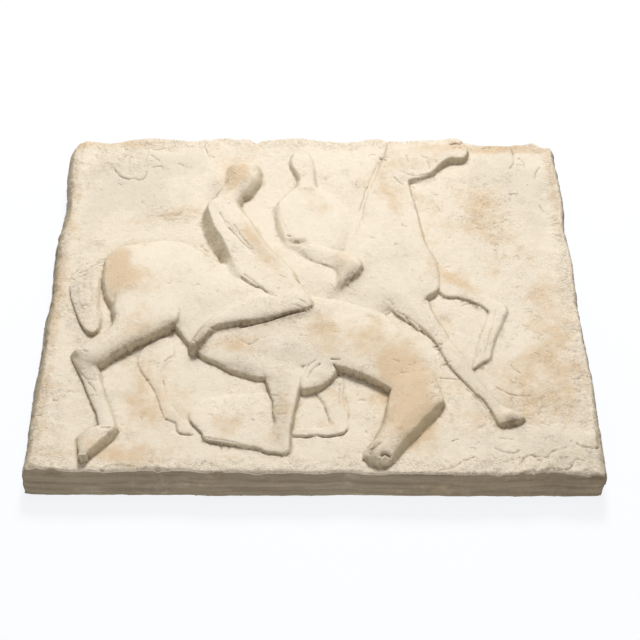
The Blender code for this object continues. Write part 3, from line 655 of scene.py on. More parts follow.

# Painted shade, with some dirt, in corners, under overhangs and on the left bevel; less where negative
SHADE_AND_DIRT = (
    (-93, -65, 14, 6, 1.1, 63), (-117, -46, 9, 5, 0.8, 40), (156, -138.5, 10, 4, 1.5, 12),
    (31, 7, 16, 5, 1.5, 42), (129, 154, 9, 3.6, 0.1, 4), (140.5, 160, 2.4, 6, 0.4),
    (100, 130, 11, 3.4, 0.12, 20), (-177, -172, 4.5, 4, 0.8), (-145, -64, 30, 6, 0.9, 30),
    (38, -95, 28, 5.5, 0.65, -26), (-60, -88, 34, 4, 0.5, -24), (4, -107, 13, 4, 0.5, 25),
    (46, -168, 8, 2.6, 0.8, 38), (56.5, -173, 3.4, 1.4, 0.9), (-18, -36, 24, 3.4, 0.3, 14),
    (84, -150, 24, 6, -0.4, 52), (-50, 112, 5, 12, -0.9, 10), (-30, 30, 5, 34, -0.8, 40),
    (3, 138, 4, 22, -0.8), (-223.5, 0, 5.5, 190, 0.8), (138, -21, 12, 2.4, 0.4, -30),
    (-54, -164, 34, 2.4, 0.3, -13), (-15, 51, 6, 3, 0.9, -8), (135, -82, 8, 2.4, 0.3, 35),
    (-25, -122, 9, 30, 0.42), (53, -180.5, 9, 1.6, 0.8), (99, 66, 62, 6, -0.6, -79),
    (19, 13, 10, 3.4, -0.7, 85), (59, -20, 7, 5, -0.7, -30), (111, 16, 22, 5, -0.5, 88),
    (-20, -37, 24, 4.6, 1.1, 14), (-62, -47, 24, 4.6, 0.9, 8),
)


# Where the stone is sandier, and where it is smoother, given as the stains are
SANDY = (
    (158, 84, 26, 36, 0.9), (180, -120, 50, 26, 0.6), (-196, 0, 16, 44, 0.8), (190, -170, 44, 14, 0.8),
    (-180, 160, 40, 20, 0.6), (-130, 86, 30, 16, 0.7), (-204, -130, 12, 50, 0.6), (-70, 122, 14, 24, 1.0),
    (124, 130, 26, 14, 0.5), (110, -35, 24, 34, 0.1, 60),
)
SMOOTH = ((-45, 75, 16, 34, 1, 30), (-140, 30, 30, 20, 1), (-5, 85, 22, 26, 1))


def roughness(x, y):
    """Where the surface is rough, from 0 on the smoothed forms to 1 on crumbling stone."""
    to_side = FACE_WIDTH / 2 / MM - np.abs(x)
    to_end = FACE_DEPTH / 2 / MM - np.abs(y - FACE_CENTRE_Y / MM)
    rim = 1 - fade(np.minimum(to_side, to_end), 4, 16)
    patches = fade(layered(x, y, ((1, 22), (1, 9)), 31), 0.1, 0.9)
    worn = 0.25 + 0.35 * patches + heap(x, y, SANDY) + 0.9 * rim - 0.6 * heap(x, y, SMOOTH)
    return np.clip(worn, 0, 1.4)


def scratch(clay):
    """Short curved scratches, strewn more thickly where the stone is rough."""
    dice = np.random.default_rng(71)
    places = np.stack([dice.uniform(-216, 216, SCRATCHES), dice.uniform(-178, 174, SCRATCHES)])
    for x, y in places[:, roughness(*places) > dice.uniform(0.15, 1.5, SCRATCHES)].T:
        turn, bend, length = dice.uniform(0, 2 * math.pi), dice.uniform(-1, 1), dice.uniform(0.8, 4.2)
        path = [
            (x + t * length * math.cos(turn + t * bend), y + t * length * math.sin(turn + t * bend))
            for t in (-1, 0, 1)
        ]
        clay.groove(path, dice.uniform(0.45, 0.75), dice.uniform(0.2, 0.7))


def crumble(height, x, y):
    """Walls break away in ledges and crumbs."""
    step_y, step_x = np.gradient(height)
    wall = fade(np.hypot(step_x, step_y), 0.5, 1.2)
    ledges = 0.2 * np.sin(height * 2 * math.pi / 2.2 + 2.5 * lumps(x, y, 9, 25))
    crumbs = layered(x, y, ((0.12, 6), (0.05, 1.8)), 26)
    return height + wall * (ledges + crumbs)


def carve(x, y, sizes):
    """Heights of the face in millimetres at the points x and y, also in millimetres."""
    stray = sizes.stray / MM
    clay = Clay(x + stray * layered(x, y, STRAY, 1), y + stray * layered(x, y, STRAY, 4))
    cut_ground(clay)
    model_right_horse(clay)
    model_right_rider(clay)
    model_left_horse(clay)
    model_left_rider(clay)
    clay.height = crumble(clay.height, x, y)
    clay.incise(GROOVES)
    for rise, *outline in FLAKES:
        clay.flake(outline, rise)
    clay.incise(CRACKS)
    scratch(clay)
    rough = roughness(x, y)
    height = clay.height + layered(x, y, ((0.45, 26), (0.22, 10)), 7)
    height += rough * layered(x, y, ((0.26, 5), (0.24, 2.8)), 9)
    height += 0.3 * np.maximum(rough - 0.5, 0) * lumps(x, y, 1.6, 16)
    height += 0.3 * tail_hair(x, y) + sizes.edge_lip / MM * side_lips(x, y)
    return height, rough


def tail_hair(x, y):
    """Strands down the tail."""
    return bump(x, y, -193, -8, 34, 11, 1, -66) * lumps(x, y, 1.8, 17, stretch=8, turn=-68)


def side_lips(x, y):
    """The left and right edges are left a little proud, in a broken lip."""
    left = ridge(x + 214, 5) * (0.5 + 0.6 * lumps(x, y, 5, 13, stretch=7, turn=87))
    right = ridge(x - 216, 5) * (0.3 + 0.5 * lumps(x, y, 10, 14))
    ridges = 0.2 * ridge(x - 214, 7) * fade(y, 50, 62) * fade(-y, -102, -90)
    return left + right + ridges * np.sin(y * 2 * math.pi / 5 + 4 * lumps(x, y, 9, 15))


# ---- The mesh ----
def wander(offsets, share, ragged, seed):
    """An edge's offset in metres at the given shares of its length, with a ragged finer stray."""
    line = curve([(offset, i) for i, offset in enumerate(offsets)], closed=False)
    broad = np.interp(share * (len(offsets) - 1), line[:, 1], line[:, 0])
    length = 400 * share
    fine = ragged * layered(length, 0 * length, ((0.7, 12), (0.35, 4)), seed)
    return MM * (broad + fine)


def chipped(x, chips):
    """How far the chips reach in at x, in millimetres."""
    return sum(depth * ridge(x - place, half_width) for place, half_width, depth in chips)


def face_points():
    """Points of the face in metres, fitted between its four wandering edges, with rounded corners."""
    u, v = np.meshgrid(np.linspace(0, 1, COLUMNS), np.linspace(0, 1, ROWS))
    left = -FACE_WIDTH / 2 - wander(LEFT_WANDER, v, 0.5, 41)
    right = FACE_WIDTH / 2 + wander(RIGHT_WANDER, v, 0.7, 43)
    bottom = FACE_CENTRE_Y - FACE_DEPTH / 2 - wander(BOTTOM_WANDER, u, 0.6, 45)
    top = FACE_CENTRE_Y + FACE_DEPTH / 2 + wander(TOP_WANDER, u, 0.9, 47)
    top -= MM * chipped((u - 0.5) * FACE_WIDTH / MM, TOP_CHIPS)
    x, y = left + (right - left) * u, bottom + (top - bottom) * v
    # How far across and up from each corner, which way is inwards there, and its radius
    corners = (
        (u, v, 1, 1, 0.003), (1 - u, v, -1, 1, 0.005),
        (u, 1 - v, 1, -1, 0.012), (1 - u, 1 - v, -1, -1, 0.004),
    )
    for across, up, inward_x, inward_y, radius in corners:
        p = np.clip(1 - across * FACE_WIDTH / radius, 0, 1)
        q = np.clip(1 - up * FACE_DEPTH / radius, 0, 1)
        x += inward_x * radius * p * (1 - np.sqrt(1 - q * q / 2))
        y += inward_y * radius * q * (1 - np.sqrt(1 - p * p / 2))
    return x, y


def rim_order():
    """Grid places along the face's rim, anticlockwise from its lower left corner."""
    last_row, last_column = ROWS - 1, COLUMNS - 1
    rows = (
        np.zeros(last_column, int), np.arange(last_row), np.full(last_column, last_row),
        np.arange(last_row, 0, -1),
    )
    columns = (
        np.arange(last_column), np.full(last_row, last_column), np.arange(last_column, 0, -1),
        np.zeros(last_row, int),
    )
    return np.concatenate(rows), np.concatenate(columns)


def arris_drop(x, y):
    """How far the face falls away to its four edges: a broad bevel on the left and at the lower
    right, and a narrow broken arris elsewhere. All in millimetres, over the grid of the face."""
    u, v = np.meshgrid(np.linspace(0, FACE_WIDTH / MM, COLUMNS), np.linspace(0, FACE_DEPTH / MM, ROWS))
    broken = layered(x, y, ((1, 14), (0.6, 4)), 21)
    # How far inside each edge, how wide its bevel is and how steeply it falls
    bevels = (
        (u, 5.6 + 1.2 * broken, 1.2), (u[:, ::-1], 1.8 + 4.2 * fade(-y, 100, 165) + 0.5 * broken, 0.9),
        (v, 1.3 + 0.5 * broken + chipped(x, FRONT_CHIPS), 0.7), (v[::-1], 1.7 + 0.8 * broken, 0.7),
    )
    drop = np.zeros_like(x)
    for inside, width, slope in bevels:
        width = np.maximum(width, 0.5)
        drop = np.maximum(drop, slope * width * (1 - rounded(inside / width, 1.3)))
    return drop


def side_points(rim, straight):
    """Rings of points down the four sides, from the arris to the back's straighter edge."""
    length = np.cumsum(np.hypot(*(np.roll(rim, -1, 0) - rim)[:, :2].T)) / MM
    step = np.roll(rim, -4, 0)[:, :2] - np.roll(rim, 4, 0)[:, :2]
    outward = np.stack([step[:, 1], -step[:, 0]], 1) / np.hypot(step[:, 0], step[:, 1])[:, None]
    for _ in range(6):
        outward = (np.roll(outward, 3, 0) + outward + np.roll(outward, -3, 0)) / 3
    outward /= np.hypot(outward[:, 0], outward[:, 1])[:, None]
    share = np.linspace(0, 1, SIDE_RINGS + 1)[1:, None]
    s, depth = np.broadcast_arrays(length[None], share * GROUND_HEIGHT / MM)
    streaks = 0.32 * lumps(s, depth, 1.6, 51, stretch=14) + 0.22 * lumps(s, depth, 3.4, 52, stretch=6)
    dents = layered(s, depth, ((0.25, 12), (0.15, 3.5)), 53)
    chips = fade(lumps(s, 0 * s, 7, 55) + 0.6 * lumps(s, depth, 4, 56), 0.9, 1.5) * (1 - fade(depth, 2, 9))
    settle = fade(depth, 0, 5)
    out = DRAFT / MM * rounded(share * 3, 2) * 0.6 + 1.4 * share + settle * (streaks + dents) - 1.6 * chips
    out -= 1.2 * fade(share, 0.93, 1)
    rings = []
    for along_out, part in zip(out, share[:, 0]):
        place = rim[:, :2] + MM * along_out[:, None] * outward
        place += 0.75 * fade(part, 0.05, 0.9) * (straight - rim[:, :2])
        rings.append(np.column_stack([place, rim[:, 2] * (1 - part)]))
    return rings


def slab_mesh(sizes):
    """The closed slab: a fine carved face, ringed sides and a coarser flat back."""
    x, y = face_points()
    height, rough = carve(x / MM, y / MM, sizes)
    height -= arris_drop(x / MM, y / MM)
    rim_rows, rim_columns = rim_order()
    face = np.stack([x, y, GROUND_HEIGHT + MM * height], -1)
    straight = np.stack([
        FACE_WIDTH * (rim_columns / (COLUMNS - 1) - 0.5),
        FACE_CENTRE_Y + FACE_DEPTH * (rim_rows / (ROWS - 1) - 0.5),
    ], -1)
    rings = side_points(face[rim_rows, rim_columns], straight)
    coarse = face[::BACK_SPACING, ::BACK_SPACING].copy()
    coarse[..., :2] *= 1.006
    coarse[..., 2] = MM * (0.5 + 0.2 * lumps(coarse[..., 0] / MM, coarse[..., 1] / MM, 18, 61))
    points = np.vstack([face.reshape(-1, 3), *rings, coarse.reshape(-1, 3)])

    place = np.arange(COLUMNS * ROWS).reshape(ROWS, COLUMNS)
    quads = [np.stack([place[:-1, :-1], place[:-1, 1:], place[1:, 1:], place[1:, :-1]], -1).reshape(-1, 4)]
    upper = place[rim_rows, rim_columns]
    count = len(upper)
    start = COLUMNS * ROWS
    for _ in rings:
        lower = np.arange(start, start + count)
        quads.append(np.stack([upper, lower, np.roll(lower, -1), np.roll(upper, -1)], -1))
        upper, start = lower, start + count
    back_shape = coarse.shape[:2]
    back = start + np.arange(back_shape[0] * back_shape[1]).reshape(back_shape)
    quads.append(np.stack([back[:-1, :-1], back[1:, :-1], back[1:, 1:], back[:-1, 1:]], -1).reshape(-1, 4))
    # Each stretch of the back's edge fans out to the finer last ring
    picked = np.arange(0, count, BACK_SPACING)
    edge = back[rim_rows[picked] // BACK_SPACING, rim_columns[picked] // BACK_SPACING]
    fans = []
    for i, (near, far) in enumerate(zip(edge, np.roll(edge, -1))):
        fine = [upper[(i * BACK_SPACING + k) % count] for k in range(BACK_SPACING + 1)]
        fans.append([near, far] + fine[::-1])
    mesh = mesh_from(points, np.vstack(quads), np.array(fans))
    add_masks(mesh, points, face, height, rough)
    return mesh


def mesh_from(points, *polygon_sets):
    """A mesh of the points, with one array of corners for each kind of polygon."""
    mesh = bpy.data.meshes.new("slab")
    loops = np.concatenate([p.ravel() for p in polygon_sets]).astype(np.int32)
    sizes = np.concatenate([np.full(len(p), p.shape[1], np.int32) for p in polygon_sets])
    mesh.vertices.add(len(points))
    mesh.vertices.foreach_set("co", points.astype(np.float32).ravel())
    mesh.loops.add(len(loops))
    mesh.loops.foreach_set("vertex_index", loops)
    mesh.polygons.add(len(sizes))
    mesh.polygons.foreach_set("loop_start", np.concatenate([[0], np.cumsum(sizes)[:-1]]).astype(np.int32))
    mesh.update(calc_edges=True)
    return mesh


def add_masks(mesh, points, face, height, rough):
    """Vertex masks that the stone's colour reads: stains, painted shade in hollows, wear, grit and the
    sides.
    """
    x, y = face[..., 0] / MM, face[..., 1] / MM
    hollow = softened(height, 1) - height
    steep, sharp = np.hypot(*np.gradient(softened(height, 1))), np.hypot(*np.gradient(height))
    down, across = np.gradient(softened(height, 2))
    broad = np.hypot(down, across)
    # Painted shade keeps to slopes facing down the slab, away from the key light, and less to steep walls
    away_from_light = 0.3 + 0.7 * fade(down / (broad + 0.02), -0.5, 0.3)
    away_from_light *= 1 - 0.75 * fade(broad, 0.35, 0.9)
    masks = {
        "warm": heap(x, y, WARM),
        "ash": heap(x, y, ASH),
        # hollow and foot are painted shade: darkening in creases and at the foot of walls
        "hollow": away_from_light * (1 - 0.35 * np.clip(rough, 0, 1)) * np.clip(2.6 * hollow - 0.16, 0, 1),
        "shade_and_dirt": heap(x, y, SHADE_AND_DIRT),
        "worn": np.clip(-1.5 * hollow, 0, 1),
        "rough": np.clip(rough, 0, 1),
        "wall": fade(steep, 0.3, 0.9),
        "foot": away_from_light * fade(sharp, 0.5, 1.1) * np.clip(0.5 * (softened(height, 3) - height) - 0.3, 0, 1),
    }
    total = len(mesh.vertices)
    face_count = COLUMNS * ROWS
    for name, values in masks.items():
        whole = np.zeros(total, np.float32)
        whole[:face_count] = values.ravel()
        if name == "shade_and_dirt":
            # The sides are darker to the right, and at the slab's left end
            side_x = points[face_count:, 0]
            whole[face_count:] = 0.65 * fade(side_x, 0, 0.18) + 0.2 * fade(-side_x, 0.185, 0.2)
        mesh.attributes.new(name, "FLOAT", "POINT").data.foreach_set("value", whole)
    side = np.ones(total, np.float32)
    side[:face_count] = 0
    mesh.attributes.new("side", "FLOAT", "POINT").data.foreach_set("value", side)


# ---- Geometry nodes: air holes and grit ----
FLOAT, COLOUR, INTEGER = "NodeSocketFloat", "NodeSocketColor", "NodeSocketInt"
GEOMETRY, MATERIAL = "NodeSocketGeometry", "NodeSocketMaterial"
HOLDS_FLOAT = {"data_type": "FLOAT"}


class Tree:
    """A node tree that is written as calls."""

    def __init__(self, tree):
        self.tree = tree

    def add(self, kind, settings=None, **inputs):
        """A new node. Inputs are given by name, with _ for a space, or by number as _0, _1 and so on."""
        node = self.tree.nodes.new(kind)
        for name, value in (settings or {}).items():
            setattr(node, name, value)
        for name, value in inputs.items():
            numbered = name[0] == "_" and name[1:].isdigit()
            self.feed(node.inputs[int(name[1:]) if numbered else name.replace("_", " ")], value)
        return node

    def feed(self, socket, value):
        """Link another node's output to the socket, or set the socket's own value."""
        if isinstance(value, bpy.types.Node):
            value = value.outputs[0]
        if isinstance(value, bpy.types.NodeSocket):
            self.tree.links.new(value, socket)
        else:
            socket.default_value = value

    def maths(self, operation, first, second=0.0, third=0.0, clamp=False):
        settings = {"operation": operation, "use_clamp": clamp}
        return self.add("ShaderNodeMath", settings, _0=first, _1=second, _2=third).outputs[0]

    def times(self, first, second, clamp=False):
        return self.maths("MULTIPLY", first, second, clamp=clamp)

    def scaled(self, value, factor, onto, clamp=False):
        """The value times the factor, added onto the last one."""
        return self.maths("MULTIPLY_ADD", value, factor, onto, clamp)

    def vector(self, operation, first, **inputs):
        return self.add("ShaderNodeVectorMath", {"operation": operation}, _0=first, **inputs)

    def own_place(self):
        """Where a point is in the object's own coordinates."""
        return self.add("ShaderNodeTexCoord").outputs["Object"]

    def noise(self, place, scale, **settings):
        return self.add("ShaderNodeTexNoise", Vector=place, Scale=scale, **settings).outputs[0]

    def mask(self, name):
        return self.add("ShaderNodeAttribute", {"attribute_name": name}).outputs["Fac"]

    def group(self, tree, **inputs):
        return self.add("ShaderNodeGroup", {"node_tree": tree}, **inputs).outputs

    def mix(self, factor, first, second):
        """The second colour over the first."""
        node = self.add("ShaderNodeMix", {"data_type": "RGBA"}, Factor=factor)
        for socket, value in zip([s for s in node.inputs if s.type == "RGBA"], (first, second)):
            self.feed(socket, value)
        return [s for s in node.outputs if s.type == "RGBA"][0]


def new_group(name, inputs, outputs, kind="ShaderNodeTree"):
    """A node group's Tree and its inputs, given as (name, kind) and a value where it has one."""
    tree = bpy.data.node_groups.new(name, kind)
    for label, socket_kind, *value in inputs:
        socket = tree.interface.new_socket(label, in_out="INPUT", socket_type=socket_kind)
        if value:
            socket.default_value = value[0]
    for label, socket_kind in outputs:
        tree.interface.new_socket(label, in_out="OUTPUT", socket_type=socket_kind)
    build = Tree(tree)
    return build, build.add("NodeGroupInput").outputs


def skin_tree():
    """Scatters air holes and grit over the casting, and gives face and sides their materials."""
    build, given = new_group(
        "cast skin",
        (
            ("Geometry", GEOMETRY), ("Holes per Area", FLOAT, 6000.0), ("Hole Radius", FLOAT, 0.0008),
            ("Hole Depth", FLOAT, 0.0006), ("Grit per Area", FLOAT, 9000.0), ("Grit Radius", FLOAT, 0.0011),
            ("Grit Height", FLOAT, 0.0004), ("Seed", INTEGER, 3), ("Face Stone", MATERIAL),
            ("Side Stone", MATERIAL),
        ),
        [("Geometry", GEOMETRY)], "GeometryNodeTree")

    def named(name):
        return build.add("GeometryNodeInputNamedAttribute", HOLDS_FLOAT, Name=name).outputs[0]

    def stored(geometry, name, value):
        return build.add(
            "GeometryNodeStoreNamedAttribute", HOLDS_FLOAT, Geometry=geometry, Name=name, Value=value)

    def spots(density, radius, height, seed_shift):
        """Spots strewn over the skin: how near each point is to one, from 0 outside it to 1 at
        its middle, and the height that it gives there."""
        sprinkled = build.add(
            "GeometryNodeDistributePointsOnFaces", Mesh=given["Geometry"], Density=given[density],
            Seed=build.maths("ADD", given["Seed"], seed_shift))
        size = build.add(
            "FunctionNodeRandomValue", _2=0.35, _3=1.0,
            Seed=build.maths("ADD", given["Seed"], seed_shift + 1))
        sized = stored(sprinkled.outputs["Points"], "spot_size", size.outputs[1])
        near = build.add("GeometryNodeSampleNearest", {"domain": "POINT"}, Geometry=sized)
        own = build.add(
            "GeometryNodeSampleIndex", HOLDS_FLOAT, Geometry=sized, Value=named("spot_size"), Index=near)
        away = build.add("GeometryNodeProximity", {"target_element": "POINTS"}, _0=sized)
        reach = build.times(own.outputs[0], given[radius])
        share = build.maths("DIVIDE", away.outputs["Distance"], reach)
        inwards = build.maths("SUBTRACT", 1.0, share, clamp=True)
        nearness = build.times(inwards, build.maths("SUBTRACT", 2.0, inwards))
        return nearness, build.times(build.times(nearness, own.outputs[0]), given[height])

    hole, sunk = spots("Holes per Area", "Hole Radius", "Hole Depth", 0)
    raised = spots("Grit per Area", "Grit Radius", "Grit Height", 10)[1]
    lift = build.maths("SUBTRACT", raised, sunk)
    offset = build.vector("SCALE", build.add("GeometryNodeInputNormal"), Scale=lift)
    held = stored(given["Geometry"], "hole", hole)
    moved = build.add("GeometryNodeSetPosition", Geometry=held, Offset=offset)
    real = build.add("GeometryNodeRealizeInstances", Geometry=moved)
    faced = build.add("GeometryNodeSetMaterial", Geometry=real, Material=given["Face Stone"])
    on_side = build.add(
        "FunctionNodeCompare", {"data_type": "FLOAT", "operation": "GREATER_THAN"}, A=named("side"), B=0.5)
    sided = build.add(
        "GeometryNodeSetMaterial", Geometry=faced, Selection=on_side, Material=given["Side Stone"])
    build.add("NodeGroupOutput", Geometry=sided)
    return build.tree


def set_inputs(modifier, **values):
    """Set a modifier's inputs by their socket's identifier."""
    identifiers = {
        item.name: item.identifier for item in modifier.node_group.interface.items_tree
        if item.item_type == "SOCKET" and item.in_out == "INPUT"
    }
    for name, value in values.items():
        modifier[identifiers[name.replace("_", " ")]] = value


# ---- Materials ----
def sand_group():
    """Sand in the stone: how light each grain is, and how high it stands."""
    build, given = new_group(
        "sand", [("Grain Size", FLOAT, 0.0012), ("Contrast", FLOAT, 0.1), ("Coarse", FLOAT, 0.5)],
        [("Tone", FLOAT), ("Rust", FLOAT), ("Height", FLOAT)])
    place = build.own_place()
    scale = build.maths("DIVIDE", 1.0, given["Grain Size"])
    fine = build.maths("SUBTRACT", build.noise(place, scale, Detail=2.0, Roughness=0.6), 0.5)
    grains = build.add("ShaderNodeTexVoronoi", Vector=place, Scale=build.times(scale, 0.62))
    kinds = build.add("ShaderNodeSeparateColor", Color=grains.outputs["Color"]).outputs
    spot = build.scaled(grains.outputs["Distance"], -2.2, 1.3, clamp=True)
    pale = build.times(spot, build.maths("GREATER_THAN", kinds[0], 0.7))
    dark = build.times(spot, build.maths("LESS_THAN", kinds[0], 0.14))
    rust = build.times(spot, build.maths("GREATER_THAN", kinds[1], 0.7))
    strewing = build.scaled(given["Coarse"], 0.5, 0.2)
    flecks = build.scaled(dark, -0.9, build.times(pale, 0.9))
    clouds = build.noise(place, build.times(scale, 0.2), Detail=2.0)
    cloudy = build.scaled(clouds, 1.2, -0.6)
    total = build.scaled(fine, 1.4, build.times(flecks, strewing))
    tone = build.scaled(build.maths("ADD", total, cloudy), given["Contrast"], 1.0)
    build.add("NodeGroupOutput", Tone=tone, Rust=build.times(rust, strewing), Height=total)
    return build.tree


def crackle_group():
    """Fine curled scratches in patches, and the crumbs that broken stone is made of."""
    build, given = new_group(
        "crackle", [("Size", FLOAT, 0.004), ("Thickness", FLOAT, 0.06), ("Cover", FLOAT, 0.5)],
        [("Lines", FLOAT), ("Crumbs", FLOAT)])
    place = build.own_place()
    scale = build.maths("DIVIDE", 1.0, given["Size"])
    curls = build.noise(place, scale, Detail=3.0, Roughness=0.55)
    off = build.maths("ABSOLUTE", build.maths("SUBTRACT", curls, 0.5))
    line = build.maths("SUBTRACT", 1.0, build.maths("DIVIDE", off, given["Thickness"]), clamp=True)
    spread = build.noise(place, build.times(scale, 0.37), Detail=2.0)
    where = build.maths("ADD", spread, build.maths("SUBTRACT", given["Cover"], 1.0))
    lines = build.times(line, build.times(where, 9.0, clamp=True))
    broken = build.noise(place, build.times(scale, 1.3), Detail=4.0)
    build.add("NodeGroupOutput", Lines=lines, Crumbs=build.scaled(broken, 4.5, -1.75, clamp=True))
    return build.tree


def stain_group():
    """Lays the warm and ash stains over the stone's own colour, patchy and with firm edges."""
    grey, brown = (0.5, 0.5, 0.5, 1), (0.5, 0.3, 0.1, 1)
    build, given = new_group(
        "stain",
        (
            ("Stone", COLOUR, grey), ("Warm", COLOUR, brown), ("Ash", COLOUR, grey),
            ("Warm Mask", FLOAT, 0.0), ("Ash Mask", FLOAT, 0.0), ("Patch Size", FLOAT, 0.02),
        ),
        [("Colour", COLOUR)])
    place = build.own_place()
    scale = build.maths("DIVIDE", 1.0, given["Patch Size"])

    def patchy(stain, shift):
        """The stain broken up by clouds, in firm-edged patches."""
        clouds = build.noise(build.vector("ADD", place, _1=shift), scale, Detail=9.0, Roughness=0.72)
        broken = build.maths("ADD", build.scaled(clouds, 2.8, -1.4), stain)
        return build.add(
            "ShaderNodeMapRange", {"interpolation_type": "SMOOTHSTEP"}, Value=broken, From_Min=0.1,
            From_Max=1.0)

    warmed = build.mix(patchy(given["Warm Mask"], (0.0, 0.0, 0.0)), given["Stone"], given["Warm"])
    ashen = build.mix(patchy(given["Ash Mask"], (0.4, 0.1, 0.0)), warmed, given["Ash"])
    build.add("NodeGroupOutput", Colour=ashen)
    return build.tree


# Steep walls are mixed towards this darker brown: painted shade
WALL_SHADE_COLOUR = (0.44, 0.365, 0.235, 1.0)
GRAIN_HEIGHT = 0.0005
LAYERING = (14.0, 14.0, 260.0)      # layers along the sides: how often the stone changes on each axis


def stone_material(name, groups, stone, warm, ash, shade_and_dirt, contrast, streaks):
    """Cast stone: stained sandy colour, painted shade and dirt in its hollows, and a grainy surface."""
    material = bpy.data.materials.new(name)
    material.use_nodes = True
    build = Tree(material.node_tree)
    shader = material.node_tree.nodes["Principled BSDF"].inputs
    rough, wall = build.mask("rough"), build.mask("wall")
    stained = build.group(
        groups["stain"], Stone=stone, Warm=warm, Ash=ash, Warm_Mask=build.mask("warm"),
        Ash_Mask=build.mask("ash"), Patch_Size=0.03)
    sand = build.group(
        groups["sand"], Grain_Size=0.0011, Contrast=build.scaled(rough, 0.6 * contrast, 0.4 * contrast),
        Coarse=rough)
    crackle = build.group(
        groups["crackle"], Size=0.005, Thickness=0.032, Cover=build.scaled(rough, 0.26, 0.33))
    crumbs, lines = crackle["Crumbs"], crackle["Lines"]

    tan = build.times(rough, build.scaled(crumbs, -0.24, 0.24))
    rusty = build.mix(build.scaled(sand["Rust"], 0.5, tan, clamp=True), stained[0], warm)
    # Steep walls painted darker brown: painted shade
    walls = build.mix(build.times(wall, 0.6), rusty, WALL_SHADE_COLOUR)
    # Painted shade with some dirt: darkening in hollows, air holes, at wall feet, from the shade table and
    # in crumbs on walls
    painted_shade_and_dirt = build.scaled(build.mask("hollow"), 0.7, build.times(build.mask("hole"), 0.15))
    painted_shade_and_dirt = build.scaled(build.mask("foot"), 0.6, painted_shade_and_dirt)
    painted_shade_and_dirt = build.scaled(build.mask("shade_and_dirt"), 0.5, painted_shade_and_dirt)
    painted_shade_and_dirt = build.times(painted_shade_and_dirt, build.scaled(crumbs, -0.5, 1.2))
    wall_crevice_shade = build.times(wall, build.scaled(crumbs, -0.2, 0.12))
    painted_shade_and_dirt = build.scaled(lines, 0.1, build.maths("ADD", painted_shade_and_dirt, wall_crevice_shade), clamp=True)
    shaded_and_dirty = build.mix(painted_shade_and_dirt, walls, shade_and_dirt)
    rubbed = tuple(min(1.0, channel * 1.2) for channel in stone[:3]) + (1.0,)
    worn = build.mix(build.times(build.mask("worn"), 0.3, clamp=True), shaded_and_dirty, rubbed)

    layers = build.noise(
        build.vector("MULTIPLY", build.own_place(), _1=LAYERING), 1.0, Detail=4.0, Roughness=0.6)
    tone = build.times(sand["Tone"], build.scaled(layers, streaks, 1.0 - 0.5 * streaks))
    build.feed(shader["Base Color"], build.vector("SCALE", worn, Scale=tone))
    shader["Roughness"].default_value = 0.92
    shader["Specular IOR Level"].default_value = 0.25

    surface = build.times(sand["Height"], build.scaled(rough, 0.5, 0.5))
    surface = build.scaled(lines, -0.45, surface)
    surface = build.scaled(build.times(crumbs, rough), 0.3, surface)
    build.feed(
        shader["Normal"], build.add("ShaderNodeBump", Height=surface, Strength=1.0, Distance=GRAIN_HEIGHT))
    return material


# ---- What a user may change ----
def length_setting(name, description, default):
    return FloatProperty(name=name, description=description, default=default, unit="LENGTH")


def power_setting(name, description, default):
    return FloatProperty(name=name, description=description, default=default, unit="POWER")


def colour_setting(name, description, *channels):
    return FloatVectorProperty(
        name=name, description=description, subtype="COLOR", size=4, default=(*channels, 1.0))


class ReliefSizes(bpy.types.PropertyGroup):
    stray: length_setting("Stray", "How far the cut edges stray from their line", 0.00055)
    edge_lip: length_setting("Edge lip", "Height of the lip left along the two side edges", 0.0016)
    hole_radius: length_setting("Hole radius", "Radius of the largest air holes", 0.0009)
    hole_depth: length_setting("Hole depth", "Depth of the largest air holes", 0.0006)
    holes_per_area: FloatProperty(
        name="Air holes", description="Air holes in a square metre of surface", default=7000.0)
    grit_per_area: FloatProperty(
        name="Grit", description="Grains that stand up, in a square metre of surface", default=30000.0)
    grit_height: length_setting("Grit height", "How far the largest grains stand up", 0.0005)
    triangles: IntProperty(
        name="Triangles", description="Triangles that the finished relief keeps", default=192000)


class ReliefColours(bpy.types.PropertyGroup):
    stone: colour_setting("Stone", "The cast stone's own colour", 0.615, 0.545, 0.443)
    warm: colour_setting("Warm stain", "Ochre stains", 0.52, 0.4, 0.27)
    ash: colour_setting("Ash stain", "Greyish bloom", 0.545, 0.485, 0.39)
    # The colour of the painted shade in hollows and on shaded walls, and of dirt
    shade_and_dirt: colour_setting("Dirt", "Dirt in the hollows", 0.17, 0.125, 0.075)
    # Far darker than the face's stone: painted shade on the sides
    side: colour_setting("Side", "The stone on the four sides", 0.256, 0.21, 0.151)
    floor: colour_setting("Floor", "The studio floor", 0.08, 0.081, 0.084)


class StageLook(bpy.types.PropertyGroup):
    key_power: power_setting("Key light", "Power of the light behind the slab's top edge", 55.0)
    top_power: power_setting("Top light", "Power of the light overhead", 10.0)
    fill_power: power_setting("Fill light", "Power of the low light in front", 8.0)
    sky: FloatProperty(name="Sky", description="Strength of the light from all around", default=0.25)
    glow: FloatProperty(
        name="Table glow", description="Light that the white table itself gives off", default=0.87)
    lens: FloatProperty(
        name="Lens", description="The camera's focal length", default=0.07706, unit="CAMERA")


# ---- Operators ----
def placed(context, name, data):
    """A new object in the scene."""
    thing = bpy.data.objects.new(name, data)
    context.collection.objects.link(thing)
    return thing


